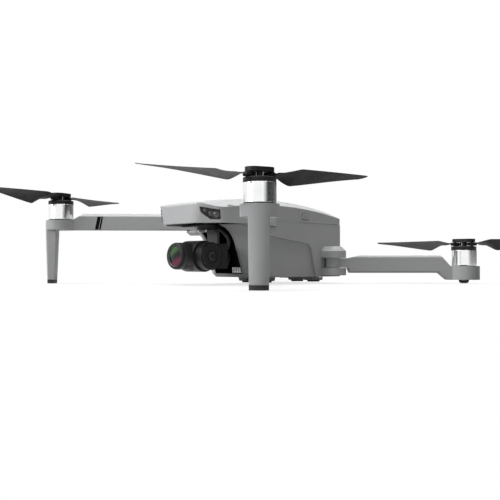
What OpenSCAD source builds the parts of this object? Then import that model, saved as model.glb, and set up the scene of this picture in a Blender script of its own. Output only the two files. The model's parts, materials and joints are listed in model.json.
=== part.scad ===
// Folding camera quadcopter at rest on its leg pads, in millimetres.
// The nose looks towards -Y, the aircraft's left side is +X and the ground is z = 0.
// Stations along the body are given as distances behind the line through the two front motors.

/* [Layout] */
// Y of the line through the two front motor axes
front_motor_y = -93.4; // [-100:0.1:-85]
// Distance from the front motor axes back to the rear motor axes
wheelbase = 243.6; // [240:0.2:248]
// Half the distance between a left and a right motor axis
motor_half_track = 118; // [115:0.5:121]
// Distance of the arm pivots from the centre plane
pivot_x = 43.5; // [43:0.1:45]
// Station of the front arm pivots
front_pivot_d = 84; // [82:0.5:86]
// Station of the rear arm pivots
rear_pivot_d = 164; // [162:0.5:166]

/* [Body] */
// Half the width of the body
body_half = 36.5; // [35.5:0.1:36.8]
// Station of the flat front of the nose
nose_d = 31.4; // [30:0.2:33]
// Half the width of the flat front of the nose
nose_half = 23; // [21:0.5:24]
// Lean of the cheeks towards the bottom of the nose
cheek_tilt = 11; // [6:0.5:13]
// Radius of the bend from the nose into a cheek
cheek_blend_r = 14; // [8:1:18]
// Radius of the bend from a cheek into the side
side_blend_r = 11; // [6:1:14]
// Radius of the edge between nose and roof
brow_r = 2.4; // [1.5:0.1:3]
// Station where the cheeks reach the full width
cheek_d = 42; // [40:0.5:45]
// Station of the rear end of the lower shell
tail_d = 184.5; // [182:0.5:190]
// Radius of the rear corners seen from above
tail_corner_r = 7; // [4:0.5:10]
// Height of the underside of the belly
belly_z = 5.5; // [5:0.1:6]
// Height of the lower edge of the nose hood
hood_z = 46.5; // [46:0.1:47]
// Height of the seam under the battery
seam_z = 49.5; // [49.2:0.1:50.2]
// Thickness of the shell walls
wall = 2.2; // [1.8:0.1:2.6]

/* [Roof] */
// Height of the side walls where the roof line is highest
roof_z = 62; // [61:0.1:63]
// Station where the roof line is highest
roof_peak_d = 103; // [95:1:110]
// Radius of the roof line seen from the side
roof_r = 410; // [380:5:450]
// Width of the sloped shoulder beside the roof
shoulder_w = 13; // [10:0.5:15]
// Rise of the shoulder
shoulder_h = 5.4; // [5:0.1:6.4]
// Further rise from the shoulder to the centre
crown_h = 0.6; // [0.4:0.1:1.2]

/* [Gimbal bay] */
// Half the width of the opening between the cheeks
bay_half = 15.8; // [15.5:0.1:16.4]
// Half the width of the lip around the opening
lip_half = 18.3; // [17.8:0.1:19]
// Station of the lip at the hood
arch_d = 58; // [57:0.5:60]
// Radius of the arch
arch_r = 23; // [21:0.5:24]
// Angle above the horizontal where the arch turns into a straight edge
arch_end_angle = 20; // [15:1:25]
// Station of the wall behind the gimbal
bay_back_d = 101; // [100:0.5:104]
// Thickness of the chin floor
chin_t = 2.8; // [2.2:0.1:3.2]
// Thickness of the black liner in the bay
liner_t = 0.6; // [0.4:0.1:0.8]

/* [Arms] */
// Half the width of an arm
arm_half = 6.2; // [5.8:0.1:6.4]
// Underside of a front arm
front_arm_z = 44.5; // [44.3:0.1:45]
// Top edge of a front arm's side faces
front_arm_side_z = 55.8; // [55:0.1:56.5]
// Ridge of a front arm
front_arm_top_z = 58.2; // [57.5:0.1:58.2]
// Underside of a rear arm
rear_arm_z = 8.7; // [8:0.1:9]
// Top of a rear arm
rear_arm_top_z = 23.2; // [22.5:0.1:24]
// Radius of a front motor pod
front_pod_r = 12.3; // [11.8:0.1:12.8]
// Radius of a rear motor pod
rear_pod_r = 13; // [12.2:0.1:13.2]
// Height of the top of a front motor pod
front_pod_top_z = 52.6; // [52:0.1:53]
// Underside of a rear motor pod
rear_pod_z = 2.9; // [2.6:0.1:3.4]
// Height of the top of a rear motor pod
rear_pod_top_z = 14.4; // [14:0.1:15]
// Radius of a hinge pin
pin_r = 2.4; // [2:0.1:2.8]
// Radius of the front arm's knuckle
front_knuckle_r = 6.6; // [6:0.1:6.8]
// Radius of the rear arm's barrel
barrel_r = 7.4; // [6.6:0.1:7.6]
// Radius of the ears that hold a rear arm
ear_r = 9.5; // [9:0.1:9.8]
// Lower edge of the slot between the ears
slot_z = 12.8; // [12.4:0.1:13.2]
// Upper edge of the slot between the ears
slot_top_z = 21.2; // [20.8:0.1:21.6]

/* [Legs] */
// Half the width of a leg at its top
leg_half = 6.6; // [6:0.1:7]
// Half the width of a leg at its foot
leg_foot_half = 6; // [5.4:0.1:6.4]
// Thickness of a leg at its top, along the arm
leg_depth = 9.7; // [8:0.1:11]
// Thickness of a leg at its foot, along the arm
leg_foot_depth = 6.7; // [6:0.1:8]
// Height of the rubber pad under a leg
pad_h = 3.1; // [2.5:0.1:4]

/* [Motors and rotors] */
// Radius of a motor can
can_r = 10.5; // [10:0.1:10.8]
// Height of a motor can
can_h = 12.4; // [11.5:0.1:13]
// Wall of a motor can
can_wall = 0.9; // [0.7:0.1:1.1]
// Gap between a pod's top and its can
can_gap = 0.8; // [0.5:0.1:1]
// Radius of a motor shaft
shaft_r = 1.5; // [1.2:0.1:1.8]
// Distance from the rotor axis to a blade's tip
rotor_r = 79; // [76:0.5:79.5]
// Distance from the rotor axis to a blade's pin
blade_pin_x = 7.2; // [6.8:0.1:7.4]
// Radius of a blade's pin
blade_pin_r = 1; // [0.8:0.1:1.2]
// Widest chord of a blade
blade_chord = 20; // [17:0.5:20.5]
// Heading of the front left rotor's blades, turned from +X
front_blade_angle = 70.9; // [60:0.5:85]
// Heading of the rear left rotor's blades, turned from +X
rear_blade_angle = 10.8; // [5:0.2:14]

/* [Gimbal] */
// Station of the pitch axis
pitch_d = 49; // [48.5:0.1:49.5]
// Height of the pitch and roll axes
lens_z = 22; // [21.5:0.1:22.5]
// Radius of the camera's round housing
camera_r = 12; // [11:0.1:12.2]
// Half the width of the camera's round housing
camera_half = 9.8; // [9:0.1:10]
// Radius of the lens barrel
barrel_lens_r = 10.2; // [9.5:0.1:10.2]
// Station of the front of the lens barrel
lens_front_d = 27.2; // [27.1:0.1:28.5]
// Radius of the front glass
glass_r = 8; // [7:0.1:8.5]
// Radius of the pitch motor
pitch_motor_r = 10.6; // [9.5:0.1:10.8]
// Outer face of the pitch motor
pitch_motor_x = 18.8; // [18:0.1:19.2]
// Station of the yaw axis
yaw_d = 61; // [60:0.5:62]
// Radius of the yaw motor
yaw_motor_r = 8.5; // [7.5:0.1:9]
// Radius of the roll motor
roll_motor_r = 9.5; // [8.5:0.1:9.6]

/* [Battery] */
// Station of the battery's front edge on the outside
battery_d = 127; // [124:1:130]
// Station of the battery's rear end
battery_tail_d = 180; // [178:0.5:182]
// Station of the front of the battery inside the shell
battery_nose_d = 74; // [72:1:80]
// Half the width of the battery inside the shell
battery_half = 28; // [24:0.5:29]
// Radius of the power button
button_r = 4.3; // [3.5:0.1:5]

/* [Hidden] */
$fn = 64;
fold_gap = 0.3;      // between faces that swing or slide past each other
pin_fit = 0.06;      // between a hinge pin and the piece that turns on it
slide_gap = 0.2;     // under and in front of the battery
shoulder_inner = body_half - shoulder_w;
cheek_angle = atan2(cheek_d - nose_d, body_half - nose_half);
cheek_len = norm([cheek_d - nose_d, body_half - nose_half]);
floor_z = belly_z + chin_t;
pod_can_z = front_pod_top_z + can_gap;
rear_can_z = rear_pod_top_z + can_gap;
front_arm_len = norm([motor_half_track - pivot_x, front_pivot_d]);
front_arm_angle = -atan2(front_pivot_d, motor_half_track - pivot_x);
rear_arm_len = norm([motor_half_track - pivot_x, wheelbase - rear_pivot_d]);
rear_arm_angle = atan2(wheelbase - rear_pivot_d, motor_half_track - pivot_x);
cavity_d = bay_back_d + wall;
cavity_half = body_half - wall - 2.8;
recess = 2;          // depth of the hollow beside a folded rear arm
board_z = 20;
board_t = 1.6;
foot_x = 9.7;
front_foot_d = 115;
rear_foot_d = 176;
foot_w = 9;
lug_t = 4;           // thickness of the ledge under a front arm
lug_rim_t = 1.7;     // thickness of the ledge at its rim
ear_t = 2.7;         // thickness of the ear above a front arm
ear_low_z = slot_z - 6.1;
ear_top_z = slot_top_z + 5.7;
ear_cone_h = 3.9;
mount_z = hood_z + 3.1;
mount_t = 1.6;
damper_h = 3.4;
plate_z = mount_z - damper_h - 1.4;
yaw_arm_z = plate_z - 3.7;
battery_skin = 1.8;
latch_d = battery_d + 8;
latch_z = seam_z + 5.2;
motor_seat_h = 0.5;
hub_h = 9.6;
hub_core_r = 2.9;
lens_ring_len = 2.3;
foot_pad_z = 2;

SHELL = [0.62, 0.63, 0.64];
ARM = [0.55, 0.56, 0.57];
BLACK = [0.07, 0.07, 0.08];
DARK = [0.16, 0.16, 0.17];
RUBBER = [0.1, 0.1, 0.1];
SILVER = [0.8, 0.8, 0.82];
BOARD = [0.08, 0.3, 0.18];

// ---------- shared helpers ----------

// Y of a station at a distance behind the front motor axes
function at(d) = front_motor_y + d;

// Points of a circular arc from angle a0 to a1
function arc(centre, r, a0, a1, steps) =
    [for (i = [0 : steps]) let (a = a0 + (a1 - a0) * i / steps) centre + r * [cos(a), sin(a)]];

// Height of the roof line of the side wall at a station
function roof_line(d) = roof_z - roof_r + sqrt(roof_r * roof_r - pow(d - roof_peak_d, 2));

// The same piece on the aircraft's left (side = 1) or right (side = -1)
module on_side(side) {
    mirror([side < 0 ? 1 : 0, 0, 0]) children();
}

// Extrudes a profile drawn in (station, z) across the body, from x0 to x1
module across(x0, x1) {
    translate([x0, front_motor_y, 0]) rotate([90, 0, 90]) linear_extrude(x1 - x0) children();
}

// A box between two corners, with y given as stations
module block(x0, x1, d0, d1, z0, z1) {
    translate([x0, at(d0), z0]) cube([x1 - x0, d1 - d0, z1 - z0]);
}

// A vertical cylinder at a station
module post(x, d, r, z0, z1) {
    translate([x, at(d), z0]) cylinder(r = r, h = z1 - z0);
}

// Plan of the body, drawn smaller by inset on every side
module body_plan(inset) {
    half = body_half - inset;
    front = nose_d + inset;
    shift = inset * (1 - sin(cheek_angle)) / cos(cheek_angle);
    corner = max(tail_corner_r - inset, 1);
    tail = tail_d - inset;
    right = concat(
        [[nose_half - inset * tan(cheek_angle / 2), front], [half, cheek_d + shift]],
        arc([half - corner, tail - corner], corner, 0, 90, 6)
    );
    left = [for (i = [len(right) - 1 : -1 : 0]) [-right[i][0], right[i][1]]];
    translate([0, front_motor_y]) polygon(concat(right, left));
}

// Frame on a bend of radius r about (x, d) at angle a: local -Y points out of the surface, leaning by tilt
module bend_frame(x, d, r, a, tilt) {
    translate([x, at(d), roof_z]) rotate([0, 0, a]) translate([0, -r, 0]) rotate([tilt, 0, 0]) children();
}

// Upright body between two heights whose cheeks lean in towards the bottom and bend into nose and side
module hood_form(inset, z0, z1) {
    steps = 6;
    rest = 90 - cheek_angle;
    nose_x = nose_half - cheek_blend_r * tan(cheek_angle / 2);
    side_d = cheek_d + side_blend_r * tan(rest / 2);
    difference() {
        linear_extrude_between(z0, z1) body_plan(inset);
        for (side = [1, -1], i = [1 : steps]) on_side(side) {
            a = cheek_angle * i / steps;
            b = cheek_angle + rest * i / (steps + 1);
            bend_frame(nose_x, nose_d + cheek_blend_r, cheek_blend_r, a, cheek_tilt * i / steps)
                translate([-40, -40, -40]) cube([120, 40 + inset, 70]);
            bend_frame(body_half - side_blend_r, side_d, side_blend_r, b, cheek_tilt * (1 - i / (steps + 1)))
                translate([-40, -40, -40]) cube([120, 40 + inset, 70]);
        }
    }
}

// What the rounded edge between nose and roof takes off
module brow_cut() {
    centre_z = roof_line(nose_d) + shoulder_h + crown_h - brow_r + 0.2;
    for (a = [20 : 20 : 60])
        translate([0, at(nose_d + brow_r), centre_z]) rotate([-a, 0, 0])
            translate([-50, -brow_r - 10, -10]) cube([100, 10, 30]);
}

// Everything under the roof surface, lowered by drop: the section turned about a far axis below
module under_roof(drop) {
    outer = roof_r - drop;
    top = [
        [outer, body_half + 1],
        [outer, body_half],
        [outer + shoulder_h, shoulder_inner],
        [outer + shoulder_h + crown_h, shoulder_inner / 3],
        [outer + shoulder_h + crown_h, -shoulder_inner / 3],
        [outer + shoulder_h, -shoulder_inner],
        [outer, -body_half],
        [outer, -body_half - 1]
    ];
    section = concat([[roof_r - 90, -body_half - 1], [roof_r - 90, body_half + 1]], top);
    spread = 30;
    translate([0, at(roof_peak_d), roof_z - roof_r])
        rotate([0, 90, 0]) rotate([0, 0, 180 - spread / 2])
            rotate_extrude(angle = spread, $fn = 720) polygon(section);
}

// ---------- shells ----------

// Edge of the gimbal opening in (station, z): an arc that runs into a straight slope down to the chin
function arch_edge() =
    let (
        start_angle = 78,
        centre = [arch_d, hood_z] - arch_r * [cos(start_angle), sin(start_angle)],
        curve = arc(centre, arch_r, start_angle, arch_end_angle, 10),
        last = curve[len(curve) - 1],
        slope = tan(arch_end_angle),
        chin_d = last[0] + (last[1] - floor_z) * slope
    )
    concat(curve, [[chin_d, floor_z], [chin_d + chin_t * 1.3, belly_z]]);

// What lies in front of the arch, from under the chin to above the hood
module arch_profile(squeeze) {
    edge = [for (p = arch_edge()) [p[0] * squeeze, p[1]]];
    bottom = edge[len(edge) - 1];
    polygon(concat(
        [[edge[0][0] - 60, hood_z + 10], [edge[0][0], hood_z + 10]],
        edge,
        [[bottom[0], belly_z - 10], [edge[0][0] - 60, belly_z - 10]]
    ));
}

// Cuts the front of the lower shell: square across the lip, swept back along the cheek line beyond it
module arch_cut() {
    across(-60, 60) arch_profile(1);
    for (side = [1, -1]) on_side(side)
        translate([lip_half, front_motor_y, 0]) rotate([0, 0, cheek_angle]) rotate([90, 0, 90])
            translate([0, 0, -5]) linear_extrude(120) arch_profile(cos(cheek_angle));
}

// Outline of the hollow in the body's side that takes the folded rear arm, in (station, z)
module side_recess_profile() {
    polygon([[arch_d, -1], [arch_d, 43], [94.4, 38], [139, 32.4], [142, 29], [150, -1]]);
}

// Ears that hold a rear arm: round in plan, joined to the wall, with a sloped top
module rear_ears() {
    for (z = [[ear_low_z, slot_z], [slot_top_z, ear_top_z]]) {
        post(pivot_x, rear_pivot_d, ear_r, z[0], z[1]);
        block(body_half - 5, pivot_x, rear_pivot_d - ear_r, rear_pivot_d + ear_r, z[0], z[1]);
    }
    translate([pivot_x, at(rear_pivot_d), ear_top_z])
        cylinder(r1 = ear_r, r2 = ear_r - ear_cone_h, h = ear_cone_h);
    translate([body_half - 5, at(rear_pivot_d), ear_top_z]) rotate([90, 0, 90])
        linear_extrude(pivot_x - body_half + 5) polygon([
            [-ear_r, 0], [ear_r, 0], [ear_r - ear_cone_h, ear_cone_h], [ear_cone_h - ear_r, ear_cone_h]
        ]);
}

// Ledge under a front arm's knuckle: a thin rim on a cone, carried by a bevelled rib from the wall
module front_ledge() {
    top = front_arm_z - fold_gap;
    rim_z = top - lug_rim_t;
    low = top - lug_t;
    r = front_knuckle_r;
    draft = 2.6;
    root = body_half - 9;
    post(pivot_x, front_pivot_d, r, rim_z, top);
    translate([pivot_x, at(front_pivot_d), low]) cylinder(r1 = r - draft, r2 = r, h = rim_z - low);
    translate([root, at(front_pivot_d), 0]) rotate([90, 0, 90]) linear_extrude(pivot_x - root)
        polygon([[-r, top], [r, top], [r, rim_z], [r - draft, low], [draft - r, low], [-r, rim_z]]);
}

// Side vents at the tail, seen from above as slots along the belly
module vent_slots(count, pitch, length, width, z0, z1) {
    for (i = [0 : count - 1])
        translate([(i - (count - 1) / 2) * pitch, 0, z0])
            linear_extrude(z1 - z0) slot_outline(length, width);
}

// A slot with round ends, along Y
module slot_outline(length, width) {
    square([width, length - width], center = true);
    for (s = [1, -1]) translate([0, s * (length - width) / 2]) circle(r = width / 2);
}

// Lower shell: belly, side walls, gimbal bay and the fixed halves of all four arm hinges
module lower_shell() {
    color(SHELL) difference() {
        union() {
            difference() {
                union() {
                    linear_extrude_between(belly_z, hood_z) body_plan(0);
                    linear_extrude_between(hood_z, seam_z) difference() {
                        body_plan(0);
                        translate([-50, at(0)]) square([100, battery_nose_d + 22]);
                    }
                }
                arch_cut();
                block(-bay_half, bay_half, 0, bay_back_d, floor_z, hood_z + 10);
                block(-cavity_half, cavity_half, cavity_d, tail_d - 3.5, floor_z, seam_z + 10);
                for (side = [1, -1]) on_side(side)
                    across(body_half - recess, body_half + 5) side_recess_profile();
            }
            for (side = [1, -1]) on_side(side) {
                rear_ears();
                front_ledge();
                for (d = [112, 168]) post(22, d, 3, floor_z - 0.5, board_z);
            }
            for (side = [1, -1], d = [front_foot_d, rear_foot_d])
                across(side * foot_x - foot_w / 2, side * foot_x + foot_w / 2) polygon([
                    [d - 8, belly_z + 0.5], [d - 6.6, foot_pad_z], [d + 6.6, foot_pad_z], [d + 8, belly_z + 0.5]
                ]);
        }
        for (side = [1, -1]) on_side(side) {
            post(pivot_x, rear_pivot_d, barrel_r + 0.7, slot_z, slot_top_z);
            post(pivot_x, front_pivot_d, front_knuckle_r + 0.5, front_arm_z - fold_gap, seam_z + 1);
            post(pivot_x, rear_pivot_d, pin_r, ear_low_z - 1, ear_top_z);
            post(pivot_x, front_pivot_d, pin_r, front_arm_z - fold_gap - lug_t + 0.6, seam_z);
        }
        translate([0, at(90), 0]) vent_slots(5, 5, 5, 2, belly_z - 1, floor_z + 1);
        block(-20, 20, 124, 163, belly_z - 1, floor_z + 1);
        block(-13, 13, tail_d - 0.8, tail_d + 1, 28, 33);
    }
}

// Extrudes a plan between two heights
module linear_extrude_between(z0, z1) {
    translate([0, 0, z0]) linear_extrude(z1 - z0) children();
}

// Upper shell: the hood over the gimbal, the roof and the ears above the front arms
module upper_shell() {
    ear_z = front_arm_top_z + fold_gap;
    step_d = battery_nose_d + 22;
    color(SHELL) difference() {
        union() {
            difference() {
                intersection() {
                    hood_form(0, hood_z, roof_z + 20);
                    under_roof(0);
                }
                intersection() {
                    hood_form(wall, hood_z - 1, roof_z + 20);
                    under_roof(wall);
                }
                brow_cut();
                block(-50, 50, battery_d, tail_d + 10, hood_z - 1, roof_z + 20);
                block(-50, 50, step_d, tail_d + 10, hood_z - 1, seam_z);
            }
            for (side = [1, -1]) on_side(side) {
                post(pivot_x, front_pivot_d, front_knuckle_r + 1, ear_z, ear_z + ear_t);
                block(body_half - 1, pivot_x, front_pivot_d - 7, front_pivot_d + 7, ear_z, ear_z + ear_t);
                block(26, body_half - 1, 50, 56, mount_z + mount_t, roof_z - 2);
            }
        }
        for (side = [1, -1]) on_side(side) {
            post(pivot_x, front_pivot_d, front_knuckle_r + 0.5, hood_z - 1, front_arm_top_z + fold_gap);
            post(pivot_x, front_pivot_d, pin_r, hood_z, ear_z + ear_t - 0.6);
            headlamp_place() headlamp_solid(1.6, 0);
        }
    }
}

// Frame on a leaning cheek: local X runs outwards along the cheek, local -Y points out of it
module headlamp_place() {
    translate([nose_half, at(nose_d), roof_z]) rotate([0, 0, cheek_angle]) rotate([cheek_tilt, 0, 0])
        translate([0, 0, -roof_z]) children();
}

// Lamp window: an eye that narrows towards the nose
module headlamp_solid(depth, grow) {
    translate([0, depth, 0]) rotate([90, 0, 0]) linear_extrude(depth + grow) polygon([
        [0.6, roof_z - 3.8], [cheek_len - 1, roof_z - 6.3], [cheek_len - 0.7, hood_z + 2.6],
        [cheek_len * 0.5, hood_z + 2.7], [cheek_len * 0.1, hood_z + 7.6]
    ]);
}

module headlamp_left() {
    color(BLACK) headlamp_place() headlamp_solid(1.6, 0);
}

module headlamp_right() {
    color(BLACK) on_side(-1) headlamp_place() headlamp_solid(1.6, 0);
}

// Cover over the electronics, let into the belly, with cooling slots
module belly_cover() {
    color(SHELL) difference() {
        block(-20 + 0.2, 20 - 0.2, 124.2, 162.8, belly_z, floor_z);
        translate([0, at(134), 0]) vent_slots(7, 4.5, 12, 2, belly_z - 1, floor_z + 1);
        post(0, 152, 6, belly_z - 1, floor_z + 1);
    }
}

// Rubber feet under the belly
module belly_feet() {
    color(RUBBER) for (side = [1, -1], d = [front_foot_d, rear_foot_d])
        translate([side * foot_x, at(d), 0.7])
            linear_extrude(foot_pad_z - 0.7) slot_outline(12.4, foot_w - 1.2);
}

// Downward camera in the belly cover
module flow_sensor() {
    color(BLACK) {
        post(0, 152, 6, belly_z - 0.6, floor_z + 3);
        post(0, 152, 3.2, belly_z - 1.3, belly_z - 0.6);
    }
}

// Main circuit board on its posts, with its larger chips
module main_board() {
    color(BOARD) {
        block(-27, 27, 106, 176, board_z, board_z + board_t);
        block(-10, 10, 118, 138, board_z + board_t, board_z + board_t + 2.2);
        block(8, 20, 148, 166, board_z + board_t, board_z + board_t + 3);
        block(-20, -6, 150, 160, board_z + board_t, board_z + board_t + 1.8);
    }
}

// Satellite receiver on the plate inside the nose
module gps_module() {
    z = mount_z + mount_t;
    color([0.8, 0.75, 0.6]) {
        block(-12, 12, 38, 58, z, z + 2);
        block(-9, 9, 39.5, 56.5, z + 2, z + 6);
    }
}

// Lamp strip in the tail
module tail_lamp() {
    color([0.5, 0.05, 0.05]) block(-13, 13, tail_d - 0.8, tail_d, 28, 33);
}

// Screws that hold the belly cover's surround
module shell_screws() {
    color(SILVER) for (side = [1, -1], d = [119, 168])
        translate([side * 25, at(d), belly_z - 0.9]) difference() {
            cylinder(r1 = 1.7, r2 = 2.1, h = 0.9);
            translate([0, 0, -0.1]) cylinder(r = 0.9, h = 0.6, $fn = 6);
        }
}

// Thin black lining of the gimbal bay: both walls, the back and the floor, cut off by the arch
module bay_liner() {
    inner = bay_half - liner_t;
    color(BLACK) difference() {
        block(-bay_half, bay_half, arch_d, bay_back_d, floor_z, hood_z);
        block(-inner, inner, arch_d - 1, bay_back_d - liner_t, floor_z + liner_t, hood_z + 1);
        across(-20, 20) arch_profile(1);
    }
}

// Finned cooler at the back of the gimbal bay
module heat_sink() {
    half = 9;
    depth = 5;
    fin_t = 1.3;
    fins = 7;
    back = bay_back_d - liner_t;
    z = floor_z + liner_t;
    color([0.6, 0.6, 0.62]) {
        block(-half, half, back - depth, back, z, z + 1);
        for (i = [0 : fins - 1]) let (x = -half + i * (2 * half - fin_t) / (fins - 1))
            block(x, x + fin_t, back - depth, back, z + 1, z + 4.4);
    }
}

// The four fixed pins that the arms turn on
module arm_hinge_pins() {
    color(SILVER) for (side = [1, -1]) on_side(side) {
        post(pivot_x, rear_pivot_d, pin_r, ear_low_z, ear_top_z);
        post(pivot_x, front_pivot_d, pin_r, front_arm_z - fold_gap - lug_t + 0.6,
            front_arm_top_z + fold_gap + ear_t - 0.6);
    }
}

// ---------- gimbal ----------

// Plate that closes the hood from below and carries the gimbal's dampers
module gimbal_mount() {
    inset = wall + 0.2;
    color(DARK) intersection() {
        hood_form(inset, mount_z, mount_z + mount_t);
        block(-50, 50, nose_d, battery_nose_d - 2, mount_z, mount_z + mount_t);
    }
}

// Places a child at each of the four dampers
module at_dampers() {
    for (x = [-12, 12], d = [yaw_d - 11, yaw_d + 7]) translate([x, at(d), 0]) children();
}

// Rubber dampers between the two plates
module damper_balls() {
    color(RUBBER) at_dampers() translate([0, 0, mount_z - damper_h]) rotate_extrude() polygon([
        [0, 0], [2.2, 0], [3, damper_h * 0.3], [3, damper_h * 0.7], [2.2, damper_h], [0, damper_h]
    ]);
}

// Yaw motor hanging in its plate under the dampers
module yaw_motor() {
    plate_half = bay_half - liner_t - fold_gap;
    color(DARK) difference() {
        union() {
            linear_extrude_between(plate_z, plate_z + 1.4) difference() {
                translate([-plate_half, at(yaw_d - 14)]) square([2 * plate_half, 24.5]);
                for (s = [-1, 1]) translate([s * 12, at(yaw_d - 2)]) square([6, 8], center = true);
            }
            post(0, yaw_d, yaw_motor_r, yaw_arm_z + 1.4 + fold_gap, plate_z + 3.6);
        }
        post(0, yaw_d, shaft_r + pin_fit, yaw_arm_z, plate_z + 2);
    }
}

// Arm that turns in yaw and hangs the roll motor behind the camera
module yaw_arm() {
    back = yaw_d + 4.3;
    color([0.3, 0.3, 0.31]) difference() {
        union() {
            block(-6, 6, yaw_d - 6, back + 2.5, yaw_arm_z, yaw_arm_z + 1.4);
            post(0, yaw_d, 7, yaw_arm_z, yaw_arm_z + 1.4);
            post(0, yaw_d, shaft_r, yaw_arm_z, plate_z + 1.8);
            block(-6, 6, back, back + 2.5, lens_z - 8, yaw_arm_z + 1.4);
        }
        roll_axis_cylinder(shaft_r + pin_fit, back - 1, back + 4);
    }
}

// A cylinder on the roll axis between two stations
module roll_axis_cylinder(r, d0, d1) {
    translate([0, at(d0), lens_z]) rotate([-90, 0, 0]) cylinder(r = r, h = d1 - d0);
}

module roll_motor() {
    front = yaw_d + 4.3 + 2.5;
    color(DARK) difference() {
        union() {
            roll_axis_cylinder(roll_motor_r, front, front + 8.5);
            roll_axis_cylinder(roll_motor_r - 1.5, front + 8.5, front + 10);
        }
        roll_axis_cylinder(shaft_r + pin_fit, front - 1, front + 6);
    }
}

// Arm that turns in roll: a plate behind the camera and a side bar to the pitch motor
module roll_arm() {
    plate_d = yaw_d + 1.4;
    color([0.2, 0.2, 0.21]) difference() {
        union() {
            roll_axis_cylinder(8, plate_d, plate_d + 2.4);
            block(0, pitch_motor_x - 0.2, plate_d, plate_d + 2.4, lens_z - 6, lens_z + 6);
            block(camera_half + 1.6, pitch_motor_x - 0.2, pitch_d + 4, plate_d + 2.4, lens_z - 9.6, lens_z + 9.6);
            roll_axis_cylinder(shaft_r, plate_d, yaw_d + 12);
        }
        pitch_axis_cylinder(pitch_motor_r, 5, pitch_motor_x + 1);
    }
}

// A cylinder on the pitch axis between two x positions
module pitch_axis_cylinder(r, x0, x1) {
    translate([x0, at(pitch_d), lens_z]) rotate([0, 90, 0]) cylinder(r = r, h = x1 - x0);
}

module pitch_motor() {
    x0 = camera_half + 1;
    color(DARK) difference() {
        union() {
            pitch_axis_cylinder(pitch_motor_r, x0, pitch_motor_x - 0.8);
            pitch_axis_cylinder(pitch_motor_r - 0.8, pitch_motor_x - 0.8, pitch_motor_x);
        }
        pitch_axis_cylinder(shaft_r + pin_fit, x0 - 1, x0 + 5);
        difference() {
            pitch_axis_cylinder(5.2, pitch_motor_x - 0.4, pitch_motor_x + 1);
            pitch_axis_cylinder(4.2, pitch_motor_x - 1, pitch_motor_x + 2);
        }
    }
}

// A cylinder on the lens axis between two stations
module lens_axis_cylinder(r, d0, d1) {
    translate([0, at(d0), lens_z]) rotate([-90, 0, 0]) cylinder(r = r, h = d1 - d0);
}

// Camera: a round housing on the pitch axis with the lens barrel in front of it
module camera_body() {
    rib_pitch = 1.5;
    color(DARK) difference() {
        union() {
            pitch_axis_cylinder(camera_r, -camera_half, camera_half);
            pitch_axis_cylinder(camera_r - 2.5, -camera_half - 1.2, camera_half);
            pitch_axis_cylinder(4, camera_half, camera_half + 0.7);
            pitch_axis_cylinder(shaft_r, camera_half, camera_half + 5);
            lens_axis_cylinder(barrel_lens_r, lens_front_d + lens_ring_len, pitch_d);
        }
        for (i = [0 : 7])
            translate([0, at(lens_front_d + 6 + i * rib_pitch), 0]) intersection() {
                translate([0, 0, lens_z]) rotate([-90, 0, 0]) difference() {
                    cylinder(r = barrel_lens_r + 1, h = rib_pitch / 2);
                    translate([0, 0, -1]) cylinder(r = barrel_lens_r - 0.6, h = rib_pitch + 2);
                }
                translate([-8, -1, lens_z - 15]) cube([16, 4, 8]);
            }
        lens_axis_cylinder(glass_r - 0.6, lens_front_d - 1, lens_front_d + 7);
    }
}

// Rounded front ring of the lens
module lens_ring() {
    lip = glass_r + 0.5;
    color(BLACK) translate([0, at(lens_front_d), lens_z]) rotate([-90, 0, 0]) rotate_extrude() polygon(concat(
        [[glass_r, lens_ring_len], [glass_r, 0]],
        [for (a = [0 : 18 : 90]) [lip + (barrel_lens_r - lip) * sin(a), lens_ring_len * (1 - cos(a))]]
    ));
}

// Front glass, domed by the arc of a large sphere
module lens_glass() {
    dome = 0.7;
    dome_r = (glass_r * glass_r + dome * dome) / (2 * dome);
    color([0.1, 0.14, 0.2, 0.6]) translate([0, at(lens_front_d + lens_ring_len), lens_z]) rotate([90, 0, 0])
        rotate_extrude() polygon(concat(
            [[0, 0], [glass_r, 0]],
            [for (i = [1 : 8]) let (x = glass_r * (1 - i / 8)) [x, sqrt(dome_r * dome_r - x * x) - dome_r + dome]]
        ));
}

// ---------- battery ----------

// Battery: its rear half is the tail of the roof and its front half slides into the shell
module battery_case() {
    front = battery_d + slide_gap;
    skin = battery_skin;
    color(SHELL) difference() {
        union() {
            intersection() {
                linear_extrude_between(seam_z + slide_gap, roof_z + 20) body_plan(0);
                under_roof(0);
                block(-50, 50, front, battery_tail_d, seam_z, roof_z + 20);
            }
            block(-battery_half, battery_half, battery_nose_d, front + 1, seam_z + 0.8, roof_z - 0.6);
        }
        intersection() {
            linear_extrude_between(seam_z + 2.4, roof_z + 20) body_plan(skin);
            under_roof(skin + 0.2);
            block(-50, 50, front + skin, battery_tail_d - skin, seam_z, roof_z + 20);
        }
        block(2 - battery_half, battery_half - 2, battery_nose_d + 2, front + 4, seam_z + 2.4, roof_z - 2.2);
        post(0, 165, button_r + fold_gap, seam_z + 6, roof_z + 10);
        for (i = [-1.5 : 1 : 1.5]) post(i * 4.5, 154, 1, roof_z - 6, roof_z + 10);
        for (side = [1, -1]) on_side(side)
            block(body_half - 4, body_half + 1, latch_d - 4.2, latch_d + 4.2, latch_z - 2.6, latch_z + 2.6);
    }
}

// Cell pack inside the battery
module battery_cells() {
    color([0.2, 0.3, 0.55]) for (side = [1, -1]) on_side(side)
        block(0.2, battery_half - 2.2, battery_nose_d + 2, 152, seam_z + 2.4, roof_z - 3);
}

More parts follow.
